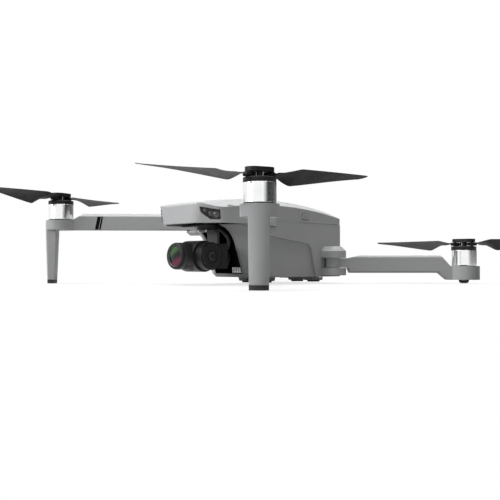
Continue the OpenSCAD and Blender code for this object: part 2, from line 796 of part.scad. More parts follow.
// Power button in the battery's roof, with a collar under the roof and a stem over the switch
module power_button() {
    top = roof_line(165) + shoulder_h + crown_h + 0.3;
    collar_r = button_r + 1;
    collar_z = roof_line(165 + collar_r) + shoulder_h + crown_h - battery_skin - 0.3;
    color(DARK) {
        post(0, 165, button_r, collar_z - 2, top);
        post(0, 165, collar_r, collar_z - 2, collar_z);
        post(0, 165, 2, seam_z + 3.8, collar_z - 1);
    }
}

// Four charge lights ahead of the button
module charge_lights() {
    top = roof_line(154) + shoulder_h + crown_h - 0.4;
    color([0.7, 0.9, 0.7]) for (i = [-1.5 : 1 : 1.5]) post(i * 4.5, 154, 1, top - 2.6, top);
}

// Latch button in the battery's side, with a flange behind the skin
module latch() {
    inner = body_half - battery_skin - 0.1;
    block(inner - 1.2, body_half + 0.6, latch_d - 3.9, latch_d + 3.9, latch_z - 2.3, latch_z + 2.3);
    block(inner - 1.2, inner, latch_d - 5, latch_d + 5, latch_z - 2.3, latch_z + 2.3);
}

module latch_left() {
    color(SHELL) latch();
}

module latch_right() {
    color(SHELL) on_side(-1) latch();
}

// ---------- arms ----------

// Frame of an arm: local origin on the pivot, local X towards the motor
module front_arm_frame(side) {
    on_side(side) translate([pivot_x, at(front_pivot_d), 0]) rotate([0, 0, front_arm_angle]) children();
}

module rear_arm_frame(side) {
    on_side(side) translate([pivot_x, at(rear_pivot_d), 0]) rotate([0, 0, rear_arm_angle]) children();
}

// Beam along local X with the given (y, z) section, cut to the given (x, z) side view
module beam(length, section, side_view) {
    intersection() {
        rotate([90, 0, 90]) linear_extrude(length) polygon(section);
        translate([0, 30, 0]) rotate([90, 0, 0]) linear_extrude(60) polygon(side_view);
    }
}

// Leg under a front pod: its outer face follows the pod's wall and it narrows towards the foot
module leg(z0, z1, inset) {
    inner_top = front_pod_r - leg_depth + inset;
    taper = (leg_depth - leg_foot_depth) / 2;
    inner_foot = inner_top + taper;
    outer_foot = front_pod_r - taper;
    h = front_arm_z;
    slope = (leg_half - leg_foot_half) / h;
    intersection() {
        translate([0, 0, 0]) cylinder(r1 = outer_foot - inset, r2 = front_pod_r - inset, h = h);
        translate([0, 30, 0]) rotate([90, 0, 0]) linear_extrude(60) polygon([
            [inner_foot, 0], [front_pod_r + 1, 0], [front_pod_r + 1, h], [inner_top, h]
        ]);
        rotate([90, 0, 90]) linear_extrude(30) polygon([
            [-leg_foot_half + inset, 0], [leg_foot_half - inset, 0],
            [leg_foot_half - inset + slope * h, h], [-leg_foot_half + inset - slope * h, h]
        ]);
        translate([-30, -30, z0]) cube([60, 60, z1 - z0]);
    }
}

// Front arm with its knuckle, pod and landing leg
module front_arm(side) {
    len = front_arm_len;
    side_top = front_arm_side_z;
    color(ARM) front_arm_frame(side) difference() {
        union() {
            cylinder(r = front_knuckle_r, h = front_arm_top_z);
            beam(len, [
                [-arm_half, front_arm_z], [arm_half, front_arm_z], [arm_half, side_top],
                [arm_half * 0.45, front_arm_top_z], [-arm_half * 0.45, front_arm_top_z], [-arm_half, side_top]
            ], [
                [0, front_arm_z], [len, front_arm_z], [len, front_pod_top_z], [len - 10, front_pod_top_z],
                [len - 16, side_top], [len - 19.5, front_arm_top_z], [0, front_arm_top_z]
            ]);
            translate([len, 0, front_arm_z]) cylinder(r = front_pod_r, h = front_pod_top_z - front_arm_z);
            translate([len, 0, 0]) leg(pad_h, front_arm_z, 0);
        }
        translate([-20, -20, -1]) cube([20 + front_knuckle_r + 1, 40, front_arm_z + 1]);
        translate([0, 0, front_arm_z - 1]) cylinder(r = pin_r + pin_fit, h = 20);
        translate([len, 0, front_pod_top_z - motor_seat_h]) cylinder(r = can_r - 0.6, h = 2);
        translate([len, 0, front_arm_z + 2]) cylinder(r = 4, h = 20);
    }
}

// Rear arm: barrel between the ears, bar, sloped drop and low pod
module rear_arm(side) {
    len = rear_arm_len;
    start = ear_r + 1.2;
    color(ARM) rear_arm_frame(side) difference() {
        union() {
            translate([0, 0, slot_z + fold_gap]) cylinder(r = barrel_r, h = slot_top_z - slot_z - 2 * fold_gap);
            translate([0, -arm_half + 0.4, slot_z + fold_gap])
                cube([start + 3, 2 * arm_half - 0.8, slot_top_z - slot_z - 2 * fold_gap]);
            beam(len, [
                [-arm_half + 1, rear_arm_z], [arm_half - 1, rear_arm_z], [arm_half, rear_arm_z + 1.5],
                [arm_half, rear_arm_top_z - 1.5], [arm_half - 1.5, rear_arm_top_z],
                [-arm_half + 1.5, rear_arm_top_z], [-arm_half, rear_arm_top_z - 1.5], [-arm_half, rear_arm_z + 1.5]
            ], [
                [start, slot_z + fold_gap], [start + 1.5, rear_arm_z], [len - 21.5, rear_arm_z],
                [len - 14.5, rear_pod_z], [len, rear_pod_z], [len, rear_pod_top_z], [len - 13, rear_pod_top_z],
                [len - 21, rear_arm_top_z], [start + 9, rear_arm_top_z], [start, slot_top_z - fold_gap]
            ]);
            beam(len, [
                [-arm_half, rear_pod_z], [arm_half, rear_pod_z], [arm_half, rear_arm_z + 2], [-arm_half, rear_arm_z + 2]
            ], [
                [len - 21.5, rear_arm_z], [len - 14.5, rear_pod_z], [len, rear_pod_z], [len, rear_arm_z + 2],
                [len - 21.5, rear_arm_z + 2]
            ]);
            translate([len, 0, rear_pod_z]) cylinder(r = rear_pod_r, h = rear_pod_top_z - rear_pod_z);
        }
        translate([0, 0, slot_z - 1]) cylinder(r = pin_r + pin_fit, h = slot_top_z - slot_z + 2);
        translate([len, 0, rear_pod_top_z - motor_seat_h]) cylinder(r = can_r - 0.6, h = 2);
        translate([len, 0, rear_pod_z + 3]) cylinder(r = 4, h = 20);
    }
}

module arm_front_left() { front_arm(1); }
module arm_front_right() { front_arm(-1); }
module arm_rear_left() { rear_arm(1); }
module arm_rear_right() { rear_arm(-1); }

// Rubber pad that closes a leg's foot
module leg_pad(side) {
    color(RUBBER) front_arm_frame(side) translate([front_arm_len, 0, 0]) leg(0, pad_h, 0);
}

module leg_pad_left() { leg_pad(1); }
module leg_pad_right() { leg_pad(-1); }

// Domed rubber pad under a rear pod
module rear_pad(side) {
    r = 4.2;
    h = rear_pod_z;
    color(RUBBER) rear_arm_frame(side) translate([rear_arm_len, 0, 0]) rotate_extrude() polygon(concat(
        [[0, 0], [r * 0.45, 0]], [for (a = [20 : 14 : 90]) [r * (0.45 + 0.55 * sin(a)), h * 0.75 * (1 - cos(a))]],
        [[r, h], [0, h]]
    ));
}

module rear_pad_left() { rear_pad(1); }
module rear_pad_right() { rear_pad(-1); }

// ---------- motors and rotors ----------

// Frame of a rotor: local origin on its axis at the height of the can's lower edge
module rotor_frame(side, front) {
    on_side(side) translate([motor_half_track, at(front ? 0 : wheelbase), front ? pod_can_z : rear_can_z])
        children();
}

// Fixed half of a motor: seat, slotted core and bearing tube
module motor(side, front) {
    core_r = can_r - can_wall - 1.5;
    teeth = 9;
    base = -can_gap - motor_seat_h;
    color([0.45, 0.3, 0.15]) rotor_frame(side, front) difference() {
        union() {
            translate([0, 0, base]) cylinder(r = can_r - 0.6, h = motor_seat_h + 0.5);
            translate([0, 0, base]) cylinder(r = 3, h = can_h - 2.6);
            translate([0, 0, 1.5]) cylinder(r = core_r, h = can_h - 5.5);
        }
        for (i = [0 : teeth - 1]) rotate([0, 0, i * 360 / teeth])
            translate([4, -0.7, 1]) cube([core_r, 1.4, can_h]);
        translate([0, 0, base + 0.6]) cylinder(r = shaft_r + pin_fit, h = can_h + 5);
    }
}

module motor_front_left() { motor(1, true); }
module motor_front_right() { motor(-1, true); }
module motor_rear_left() { motor(1, false); }
module motor_rear_right() { motor(-1, false); }

// Turning can with its shaft
module bell(side, front) {
    color(SILVER) rotor_frame(side, front) {
        difference() {
            cylinder(r = can_r, h = can_h);
            translate([0, 0, -1]) cylinder(r = can_r - can_wall, h = can_h - 0.6);
        }
        cylinder(r = shaft_r, h = can_h - 0.2);
    }
}

module bell_front_left() { bell(1, true); }
module bell_front_right() { bell(-1, true); }
module bell_rear_left() { bell(1, false); }
module bell_rear_right() { bell(-1, false); }

// Heading of a rotor's first blade in its own frame
function blade_heading(front) = front ? front_blade_angle : rear_blade_angle;

// Heights above the can's top: seat ring, step, blade gap and top plate
hub_ring_h = 1.7;
hub_step_h = 1.9;
hub_gap_h = 3.2;

// Rotor hub: seat on the can, core between the blades and the plate above them
module hub(side, front) {
    low = hub_ring_h + hub_step_h;
    color(BLACK) rotor_frame(side, front) translate([0, 0, can_h]) rotate([0, 0, blade_heading(front)]) {
        cylinder(r = can_r - 0.2, h = hub_ring_h);
        cylinder(r = can_r - 1.65, h = low);
        cylinder(r = hub_core_r, h = hub_h);
        translate([0, 0, low + hub_gap_h]) linear_extrude(hub_h - low - hub_gap_h)
            rotate(90) slot_outline(19, 11.4);
        for (s = [1, -1]) translate([s * blade_pin_x, 0, low - 0.5]) cylinder(r = blade_pin_r, h = hub_gap_h + 1);
    }
}

module hub_front_left() { hub(1, true); }
module hub_front_right() { hub(-1, true); }
module hub_rear_left() { hub(1, false); }
module hub_rear_right() { hub(-1, false); }

// Chord of a blade at t, from 0 at its pin to 1 at its tip: it swells quickly and tapers to the tip
function chord(t) = blade_chord * (t < 0.22 ? 0.36 + 0.64 * sin(90 * t / 0.22) : 1 - 0.62 * pow((t - 0.22) / 0.78, 1.5))
    * (t > 0.93 ? sqrt(max(0.05, 1 - pow((t - 0.93) / 0.075, 2))) : 1);

// Pitch of a blade at t, in degrees: flat over the hub so that it folds past it, then steep, then washed out
function pitch(t) = t < 0.12 ? 7 : t < 0.25 ? 7 + 20 * (t - 0.12) / 0.13 : 27 - 18 * (t - 0.25) / 0.75;

// Thickness of a blade at t
function thickness(t) = 1.5 - 0.9 * min(t / 0.3, 1);

// One closed section of a blade at t, as (x, y, z) points around the leading edge at the top
function blade_section(t, length, sides) =
    let (
        c = chord(t), p = pitch(t), h = thickness(t), x = t * length,
        lead_z = 0.8 + 2.8 * max(min((t - 0.1) / 0.15, 1), 0) - 1.4 * max(t - 0.25, 0),
        mid = [x, 0, lead_z - c * sin(p) / 2]
    )
    [for (i = [0 : sides - 1]) let (
        a = 360 * i / sides,
        u = c / 2 * cos(a),
        v = h / 2 * sin(a) * (0.75 + 0.25 * cos(a)) + 0.04 * c * (1 - pow(cos(a), 2))
    ) mid + [0, -u * cos(p) - v * sin(p), u * sin(p) + v * cos(p)]];

// Blade from its pin outwards along local X: a round eye and a twisted, tapered surface
module blade_form() {
    length = rotor_r - blade_pin_x;
    sides = 10;
    start = 0.045;
    stations = [for (i = [0 : 15]) start + (1 - start) * pow(i / 15, 1.15)];
    root = [for (i = [1 : sides]) 1 / sides] * blade_section(start, length, sides);
    points = concat([for (t = stations) each blade_section(t, length, sides)], [root]);
    rings = len(stations);
    faces = concat(
        [for (i = [0 : sides - 1]) [rings * sides, (i + 1) % sides, i]],
        [for (r = [0 : rings - 2], i = [0 : sides - 1])
            each let (a = r * sides + i, b = r * sides + (i + 1) % sides) [[a, b, a + sides], [b, b + sides, a + sides]]],
        [for (i = [1 : sides - 2]) let (o = (rings - 1) * sides) [o, o + i, o + i + 1]]
    );
    difference() {
        union() {
            translate([0, 0, -1.3]) cylinder(r = 3.9, h = 2.6);
            polyhedron(points = points, faces = faces);
        }
        translate([0, 0, -5]) cylinder(r = blade_pin_r + pin_fit, h = 10);
    }
}

// Blade a points along the heading, blade b the other way
module blade(side, front, second) {
    z = can_h + hub_ring_h + hub_step_h + hub_gap_h / 2;
    color(BLACK) rotor_frame(side, front) rotate([0, 0, blade_heading(front) + (second ? 180 : 0)])
        translate([blade_pin_x, 0, z]) blade_form();
}

module blade_front_left_a() { blade(1, true, false); }
module blade_front_left_b() { blade(1, true, true); }
module blade_front_right_a() { blade(-1, true, false); }
module blade_front_right_b() { blade(-1, true, true); }
module blade_rear_left_a() { blade(1, false, false); }
module blade_rear_left_b() { blade(1, false, true); }
module blade_rear_right_a() { blade(-1, false, false); }
module blade_rear_right_b() { blade(-1, false, true); }

// ---------- which pieces are drawn ----------

lower_shell();
upper_shell();
bay_liner();
belly_cover();
headlamp_left();
headlamp_right();
belly_feet();
flow_sensor();
main_board();
gps_module();
tail_lamp();
shell_screws();
heat_sink();
arm_hinge_pins();
gimbal_mount();
damper_balls();
yaw_motor();
battery_case();
battery_cells();
power_button();
charge_lights();
latch_left();
latch_right();
yaw_arm();
roll_motor();
roll_arm();
pitch_motor();
camera_body();
lens_ring();
lens_glass();
arm_front_left();
arm_front_right();
arm_rear_left();
arm_rear_right();
leg_pad_left();
leg_pad_right();
rear_pad_left();
rear_pad_right();
motor_front_left();
motor_front_right();
motor_rear_left();
motor_rear_right();
bell_front_left();
bell_front_right();
bell_rear_left();
bell_rear_right();
hub_front_left();
hub_front_right();
hub_rear_left();
hub_rear_right();
blade_front_left_a();
blade_front_left_b();
blade_front_right_a();
blade_front_right_b();
blade_rear_left_a();
blade_rear_left_b();
blade_rear_right_a();
blade_rear_right_b();
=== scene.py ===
"""Looks of a folding camera quadcopter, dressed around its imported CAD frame.

The nose looks towards -Y, the aircraft's left side is +X and the ground is z = 0.
Sizes are in millimetres until a mesh is made, and in metres on every object.
"""

import json
import logging
import math
from dataclasses import dataclass, field
from enum import Enum

import bmesh
import bpy
import numpy as np
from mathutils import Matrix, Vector
from numpy.typing import NDArray


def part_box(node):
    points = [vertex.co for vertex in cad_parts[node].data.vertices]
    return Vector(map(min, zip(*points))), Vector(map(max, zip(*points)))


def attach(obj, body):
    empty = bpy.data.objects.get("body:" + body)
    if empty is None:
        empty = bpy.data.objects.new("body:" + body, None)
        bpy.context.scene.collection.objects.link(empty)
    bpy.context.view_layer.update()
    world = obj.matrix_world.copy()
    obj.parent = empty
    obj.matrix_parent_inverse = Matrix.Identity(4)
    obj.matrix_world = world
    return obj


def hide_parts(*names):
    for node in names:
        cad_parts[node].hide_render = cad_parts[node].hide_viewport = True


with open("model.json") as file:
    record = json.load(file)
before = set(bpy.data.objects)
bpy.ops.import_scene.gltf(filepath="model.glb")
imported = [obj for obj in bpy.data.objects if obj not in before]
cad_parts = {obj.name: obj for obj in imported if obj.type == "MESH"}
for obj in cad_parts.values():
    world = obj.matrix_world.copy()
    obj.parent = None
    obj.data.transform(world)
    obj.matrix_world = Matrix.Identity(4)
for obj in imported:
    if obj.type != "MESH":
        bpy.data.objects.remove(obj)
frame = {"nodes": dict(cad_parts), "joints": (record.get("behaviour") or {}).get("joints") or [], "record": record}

Array = NDArray[np.float64]
Patch = tuple[Array, Array]
MM = 0.001
LOG = logging.getLogger("quadcopter")
X, Y, Z = np.eye(3)


class Side(Enum):
    """Side of the aircraft, with the sign of its X."""

    LEFT = 1
    RIGHT = -1

    @property
    def word(self) -> str:
        """The side as it is written in the names of nodes and bodies."""
        return self.name.lower()


class Row(Enum):
    """Front or rear pair of arms."""

    FRONT = "front"
    REAR = "rear"


# ---------------------------------------------------------------- surfaces


def unit(vector: Array) -> Array:
    """The vector scaled to length one."""
    return vector / np.linalg.norm(vector)


def grid(points: Array, close_u: bool = False, close_v: bool = False) -> Patch:
    """Quads over a grid of points.

    Args:
        points: array of shape (u, v, 3).
        close_u: joins the last row to the first.
        close_v: joins the last column to the first.

    Returns:
        The vertices and the quads' vertex numbers.
    """
    rows, columns = points.shape[:2]
    u = np.arange(rows if close_u else rows - 1)
    v = np.arange(columns if close_v else columns - 1)
    uu, vv = np.meshgrid(u, v, indexing="ij")
    up, vp = (uu + 1) % rows, (vv + 1) % columns
    quads = np.stack(
        [uu * columns + vv, up * columns + vv, up * columns + vp, uu * columns + vp], axis=-1
    )
    return points.reshape(-1, 3), quads.reshape(-1, 4)


def revolve(profile: list[tuple[float, float]], sides: int = 64, closed: bool = False) -> Patch:
    """Surface of revolution about local Z: every profile point (r, z) goes round a full circle.

    Args:
        profile: radius and height of each point, in order.
        sides: number of steps round the circle.
        closed: joins the profile's end to its start, for a ring.

    Returns:
        The surface as a patch.
    """
    r, z = np.array(profile, float).T
    angle = np.linspace(0, 2 * np.pi, sides, endpoint=False)
    points = np.stack(
        [
            r[:, None] * np.cos(angle),
            r[:, None] * np.sin(angle),
            np.broadcast_to(z[:, None], (len(r), sides)),
        ],
        axis=-1,
    )
    return grid(points, close_u=closed, close_v=True)


def rectangle(half_x: float, half_y: float) -> list[tuple[float, float]]:
    """Corners of a rectangle about the origin, counter-clockwise."""
    return [(-half_x, -half_y), (half_x, -half_y), (half_x, half_y), (-half_x, half_y)]


def smooth_outline(corners: list[tuple[float, float]], radius: float, steps: int = 5) -> Array:
    """Closed outline with a round at every corner: a parabola between the tangent points of its two edges.

    Args:
        corners: corner points, counter-clockwise.
        radius: radius of the circle that touches both edges at the ends of a round.
        steps: number of points on each round.

    Returns:
        The outline's points, shape (n, 2).
    """
    p = np.array(corners, float)
    before, after = np.roll(p, 1, axis=0), np.roll(p, -1, axis=0)
    a, b = before - p, after - p
    a /= np.linalg.norm(a, axis=1)[:, None]
    b /= np.linalg.norm(b, axis=1)[:, None]
    half = np.arccos(np.clip((a * b).sum(1), -1, 1)) / 2
    cut = radius / np.tan(half)
    t = np.linspace(0, 1, steps)[None, :, None]
    start, end = p + a * cut[:, None], p + b * cut[:, None]
    curve = (1 - t) ** 2 * start[:, None] + 2 * t * (1 - t) * p[:, None] + t**2 * end[:, None]
    return curve.reshape(-1, 2)


def slab(outline: Array, low: float, high: float, bevel: float = 0.0) -> Patch:
    """Plate with the given outline in local XY, drawn in towards its centre by the bevel at both faces.

    Args:
        outline: closed convex outline, shape (n, 2).
        low: height of the lower face.
        high: height of the upper face.
        bevel: width and height of the bevel.

    Returns:
        The closed plate as a patch.
    """
    centre = outline.mean(0)
    reach = np.linalg.norm(outline - centre, axis=1)[:, None]
    inner = centre + (outline - centre) * (1 - bevel / reach)
    core = np.broadcast_to(centre, outline.shape)
    lower = [(core, low), (inner, low), (outline, low + bevel)]
    upper = [(outline, high - bevel), (inner, high), (core, high)]
    points = np.stack([np.column_stack([ring, np.full(len(ring), z)]) for ring, z in lower + upper])
    return grid(points, close_v=True)


def sweep(path: Array, radius: float, sides: int = 10) -> Patch:
    """Round tube along a path: a circle stands square to the path's direction at every point."""
    direction = np.gradient(path, axis=0)
    direction /= np.linalg.norm(direction, axis=1)[:, None]
    helper = np.array([0.31, 0.22, 0.92])
    first = np.cross(direction, helper)
    first /= np.linalg.norm(first, axis=1)[:, None]
    second = np.cross(direction, first)
    angle = np.linspace(0, 2 * np.pi, sides, endpoint=False)[None, :, None]
    ring = path[:, None] + radius * (np.cos(angle) * first[:, None] + np.sin(angle) * second[:, None])
    ends = [np.broadcast_to(p, (1, sides, 3)) for p in (path[0], path[-1])]
    return grid(np.concatenate([ends[0], ring, ends[1]]), close_v=True)


@dataclass(frozen=True)
class Place:
    """A local frame: an origin in millimetres and the directions of its three axes."""

    origin: Array
    x: Array
    y: Array
    z: Array

    @classmethod
    def at(cls, origin: Array, z: Array, x: Array) -> "Place":
        """A frame with the given Z, and X as near to x as it can be.

        Args:
            origin: the frame's origin, in millimetres.
            z: direction of the local Z axis.
            x: wanted direction of the local X axis.

        Returns:
            A right-handed frame.
        """
        z = unit(np.array(z, float))
        x = np.array(x, float)
        x = unit(x - z * (x @ z))
        return cls(np.array(origin, float), x, np.cross(z, x), z)

    def put(self, patch: Patch) -> Patch:
        """The patch moved from this frame to the row frame."""
        points, faces = patch
        basis = np.stack([self.x, self.y, self.z])
        return self.origin + points @ basis, faces

    def shifted(self, x: float, y: float = 0.0) -> "Place":
        """The same frame with its origin moved along its own X and Y."""
        return Place(self.origin + x * self.x + y * self.y, self.x, self.y, self.z)


def build_mesh(name: str, patches: list[Patch], sharp_deg: float = 32.0) -> bpy.types.Object:
    """Joins patches into one object, closes their seams and turns their faces outwards.

    Args:
        name: the object's name.
        patches: surfaces in the row frame, in millimetres.
        sharp_deg: edges that turn by more than this stay sharp.

    Returns:
        The object, at the origin, in metres.
    """
    counts = np.cumsum([0] + [len(points) for points, _ in patches])
    points = np.concatenate([p for p, _ in patches]) * MM
    faces = np.concatenate([f + n for (_, f), n in zip(patches, counts)])
    mesh = bpy.data.meshes.new(name)
    mesh.from_pydata(points, [], faces.tolist())
    work = bmesh.new()
    work.from_mesh(mesh)
    bmesh.ops.remove_doubles(work, verts=work.verts, dist=2e-6)
    bmesh.ops.dissolve_degenerate(work, edges=work.edges, dist=1e-7)
    bmesh.ops.recalc_face_normals(work, faces=work.faces)
    work.to_mesh(mesh)
    work.free()
    mesh.shade_smooth()
    mesh.set_sharp_from_angle(angle=math.radians(sharp_deg))
    obj = bpy.data.objects.new(name, mesh)
    bpy.context.scene.collection.objects.link(obj)
    return obj


# ---------------------------------------------------------------- finishes


class NodeGraph:
    """The node tree of a material or a world, with short calls to add and join nodes."""

    def __init__(
        self, owner: bpy.types.Material | bpy.types.World, output: str = "ShaderNodeOutputMaterial"
    ) -> None:
        """Empties the owner's node tree, but for an output.

        Args:
            owner: the material or world.
            output: Blender's name of the output node's type.
        """
        owner.use_nodes = True
        self.owner = owner
        self.tree = owner.node_tree
        self.tree.nodes.clear()
        self.output = self.tree.nodes.new(output)

    @classmethod
    def material(cls, name: str) -> "NodeGraph":
        """The graph of a new material of that name."""
        return cls(bpy.data.materials.new(name))

    def node(
        self, kind: str, inputs: dict[str | int, object] | None = None, **settings: object
    ) -> bpy.types.Node:
        """Adds a node.

        Args:
            kind: Blender's name of the node type.
            inputs: value or output socket for each input, by its name or number.
            settings: attributes of the node itself.

        Returns:
            The new node.
        """
        made = self.tree.nodes.new(kind)
        for key, value in settings.items():
            setattr(made, key, value)
        for key, value in (inputs or {}).items():
            if isinstance(value, bpy.types.NodeSocket):
                self.tree.links.new(value, made.inputs[key])
            else:
                made.inputs[key].default_value = value
        return made

    def maths(self, operation: str, a: object, b: object) -> bpy.types.NodeSocket:
        """The result of a Math node on a and b, each a number or a socket."""
        return self.node("ShaderNodeMath", {0: a, 1: b}, operation=operation).outputs[0]

    def object_point(self) -> bpy.types.NodeSocket:
        """The point being shaded, in object coordinates."""
        return self.node("ShaderNodeTexCoord").outputs["Object"]

    def noise(
        self, scale: float, detail: float = 2.0, stretch: tuple[float, float, float] = (1, 1, 1)
    ) -> bpy.types.NodeSocket:
        """Noise on object coordinates.

        Args:
            scale: waves per metre.
            detail: octaves.
            stretch: factor on each axis.

        Returns:
            The noise value's socket.
        """
        mapped = self.node("ShaderNodeMapping", {"Vector": self.object_point(), "Scale": stretch})
        return self.node(
            "ShaderNodeTexNoise", {"Vector": mapped.outputs[0], "Scale": scale, "Detail": detail}
        ).outputs["Fac"]

    def between(
        self, value: bpy.types.NodeSocket, low: float, high: float, start: float = 0.3, end: float = 0.7
    ) -> bpy.types.NodeSocket:
        """Maps a value to low and high as it goes from start to end, by default a noise's middle range."""
        return self.node(
            "ShaderNodeMapRange",
            {"Value": value, "From Min": start, "From Max": end, "To Min": low, "To Max": high},
        ).outputs[0]

    def tint(
        self, factor: bpy.types.NodeSocket, a: tuple[float, ...], b: tuple[float, ...]
    ) -> bpy.types.NodeSocket:
        """Mixes two colours by a factor."""
        return self.node("ShaderNodeMix", {0: factor, 6: (*a, 1), 7: (*b, 1)}, data_type="RGBA").outputs[2]

    def relief(self, height: bpy.types.NodeSocket, depth: float, edge: float) -> bpy.types.NodeSocket:
        """Bump of a depth in metres over normals rounded at edges by the edge radius in metres."""
        rounded = self.node("ShaderNodeBevel", {"Radius": edge}, samples=6).outputs[0]
        return self.node(
            "ShaderNodeBump", {"Height": height, "Distance": depth, "Strength": 1.0, "Normal": rounded}
        ).outputs[0]

    def finish(self, shader: bpy.types.Node) -> bpy.types.Material | bpy.types.World:
        """Joins the shader to the output and returns the material or world."""
        self.tree.links.new(shader.outputs[0], self.output.inputs["Surface"])
        return self.owner

    def principled(self, inputs: dict[str, object]) -> bpy.types.Material:
        """Joins a Principled shader with those inputs to the output and returns the material."""
        return self.finish(self.node("ShaderNodeBsdfPrincipled", inputs))


def shade(colour: tuple[float, ...], factor: float) -> tuple[float, ...]:
    """A colour made lighter or darker by a factor."""
    return tuple(min(1.0, c * factor) for c in colour)


@dataclass(frozen=True)
class MouldedPlastic:
    """Painted or moulded plastic: slow tone drift, fine grain, softly rounded edges and dust-rubbed sheen."""

    colour: tuple[float, float, float]
    roughness: float = 0.42
    grain_per_m: float = 5200.0
    grain_depth: float = 0.000012
    edge: float = 0.0007
    drift: float = 0.05
    specular: float = 0.45

    def make(self, name: str) -> bpy.types.Material:
        """The finish as a material of that name."""
        g = NodeGraph.material(name)
        drift = g.between(g.noise(14.0, 3.0), 0, 1)
        grain = g.noise(self.grain_per_m, 1.5)
        pale, deep = shade(self.colour, 1 + self.drift), shade(self.colour, 1 - self.drift)
        return g.principled({
            "Base Color": g.tint(drift, deep, pale),
            "Roughness": g.between(g.noise(90.0, 4.0), self.roughness - 0.05, self.roughness + 0.07),
            "Specular IOR Level": self.specular,
            "Normal": g.relief(grain, self.grain_depth, self.edge),
        })


@dataclass(frozen=True)
class TurnedMetal:
    """Turned or brushed metal: fine marks run round the vertical axis and change its sheen."""

    colour: tuple[float, float, float]
    roughness: float = 0.2
    lines_per_m: float = 9000.0
    edge: float = 0.0003

    def make(self, name: str) -> bpy.types.Material:
        """The finish as a material of that name."""
        g = NodeGraph.material(name)
        lines = g.noise(self.lines_per_m, 2.0, (0.03, 0.03, 1.0))
        patches = g.between(g.noise(160.0, 3.0), 0, 1)
        return g.principled({
            "Base Color": g.tint(patches, shade(self.colour, 0.93), self.colour),
            "Metallic": 1.0,
            "Roughness": g.between(lines, self.roughness * 0.8, self.roughness * 1.3),
            "Normal": g.relief(lines, 0.000004, self.edge),
        })


@dataclass(frozen=True)
class Rubber:
    """Matt rubber with a pebbled skin and paler rubbed patches."""

    colour: tuple[float, float, float] = (0.012, 0.012, 0.013)

    def make(self, name: str) -> bpy.types.Material:
        """The finish as a material of that name."""
        g = NodeGraph.material(name)
        rubbed = g.between(g.noise(300.0, 4.0), 0, 1)
        return g.principled({
            "Base Color": g.tint(rubbed, self.colour, shade(self.colour, 1.9)),
            "Roughness": g.between(g.noise(500.0, 2.0), 0.62, 0.85),
            "Normal": g.relief(g.noise(2600.0, 2.0), 0.00004, 0.0004),
        })


@dataclass(frozen=True)
class DarkWindow:
    """Gloss black window: a dark body with a sharp sheen."""

    colour: tuple[float, float, float] = (0.006, 0.006, 0.007)
    roughness: float = 0.08
    specular: float = 0.3

    def make(self, name: str) -> bpy.types.Material:
        """The finish as a material of that name."""
        g = NodeGraph.material(name)
        return g.principled({
            "Base Color": g.tint(g.between(g.noise(60.0), 0, 1), self.colour, shade(self.colour, 2.2)),
            "Roughness": g.between(g.noise(120.0, 3.0), self.roughness, self.roughness + 0.05),
            "Specular IOR Level": self.specular,
            "Normal": g.relief(g.noise(40.0), 0.00003, 0.0003),
        })


@dataclass(frozen=True)
class LensCoating:
    """Lens element with painted coating reflections: green painted towards its upper inner side, magenta towards
    its lower outer side, near black between.
    """

    green: tuple[float, float, float] = (0.05, 0.12, 0.04)
    middle: tuple[float, float, float] = (0.002, 0.004, 0.003)
    magenta: tuple[float, float, float] = (0.16, 0.008, 0.05)
    centre_z: float = 0.022
    slant: float = 0.5
    reach: float = 0.0062

    def make(self, name: str) -> bpy.types.Material:
        """The finish as a material of that name."""
        g = NodeGraph.material(name)
        x, _, z = g.node("ShaderNodeSeparateXYZ", {0: g.object_point()}).outputs
        height = g.maths("SUBTRACT", z, self.centre_z)
        across = g.maths("SUBTRACT", height, g.maths("MULTIPLY", x, self.slant))
        fade = g.between(across, 0, 1, -self.reach, self.reach)
        ramp = g.node("ShaderNodeValToRGB", {0: fade})
        stops = ramp.color_ramp.elements
        stops[0].position, stops[1].position = 0.12, 0.86
        stops[0].color, stops[1].color = (*self.magenta, 1), (*self.green, 1)
        for position in (0.36, 0.58):
            stops.new(position).color = (*self.middle, 1)
        # The base colour is painted reflection: a fixed ramp across the element by height and sideways place, the
        # same from every view.
        return g.principled({
            "Base Color": ramp.outputs[0],
            "Roughness": g.between(g.noise(300.0), 0.04, 0.09),
            "Specular IOR Level": 0.3,
        })


@dataclass(frozen=True)
class CircuitBoard:
    """Green solder mask with a faint pattern of tracks."""

    colour: tuple[float, float, float] = (0.012, 0.09, 0.045)

    def make(self, name: str) -> bpy.types.Material:
        """The finish as a material of that name."""
        g = NodeGraph.material(name)
        tracks = g.node(
            "ShaderNodeTexBrick",
            {
                "Vector": g.object_point(),
                "Scale": 260.0,
                "Color1": (*self.colour, 1),
                "Color2": (*shade(self.colour, 1.25), 1),
                "Mortar": (*shade(self.colour, 2.2), 1),
                "Mortar Size": 0.03,
            },
        )
        return g.principled({
            "Base Color": tracks.outputs["Color"],
            "Roughness": 0.32,
            "Normal": g.relief(g.noise(900.0), 0.00001, 0.0002),
        })


@dataclass(frozen=True)
class Lamp:
    """Small lamp cover with a weak glow of its own."""

    colour: tuple[float, float, float]
    glow: float = 0.15

    def make(self, name: str) -> bpy.types.Material:
        """The finish as a material of that name."""
        g = NodeGraph.material(name)
        mottle = g.between(g.noise(700.0, 2.0), 0, 1)
        return g.principled({
            "Base Color": g.tint(mottle, self.colour, shade(self.colour, 1.3)),
            "Roughness": 0.18,
            "Emission Color": (*self.colour, 1),
            "Emission Strength": self.glow,
            "Normal": g.relief(g.noise(1500.0), 0.00002, 0.0002),
        })


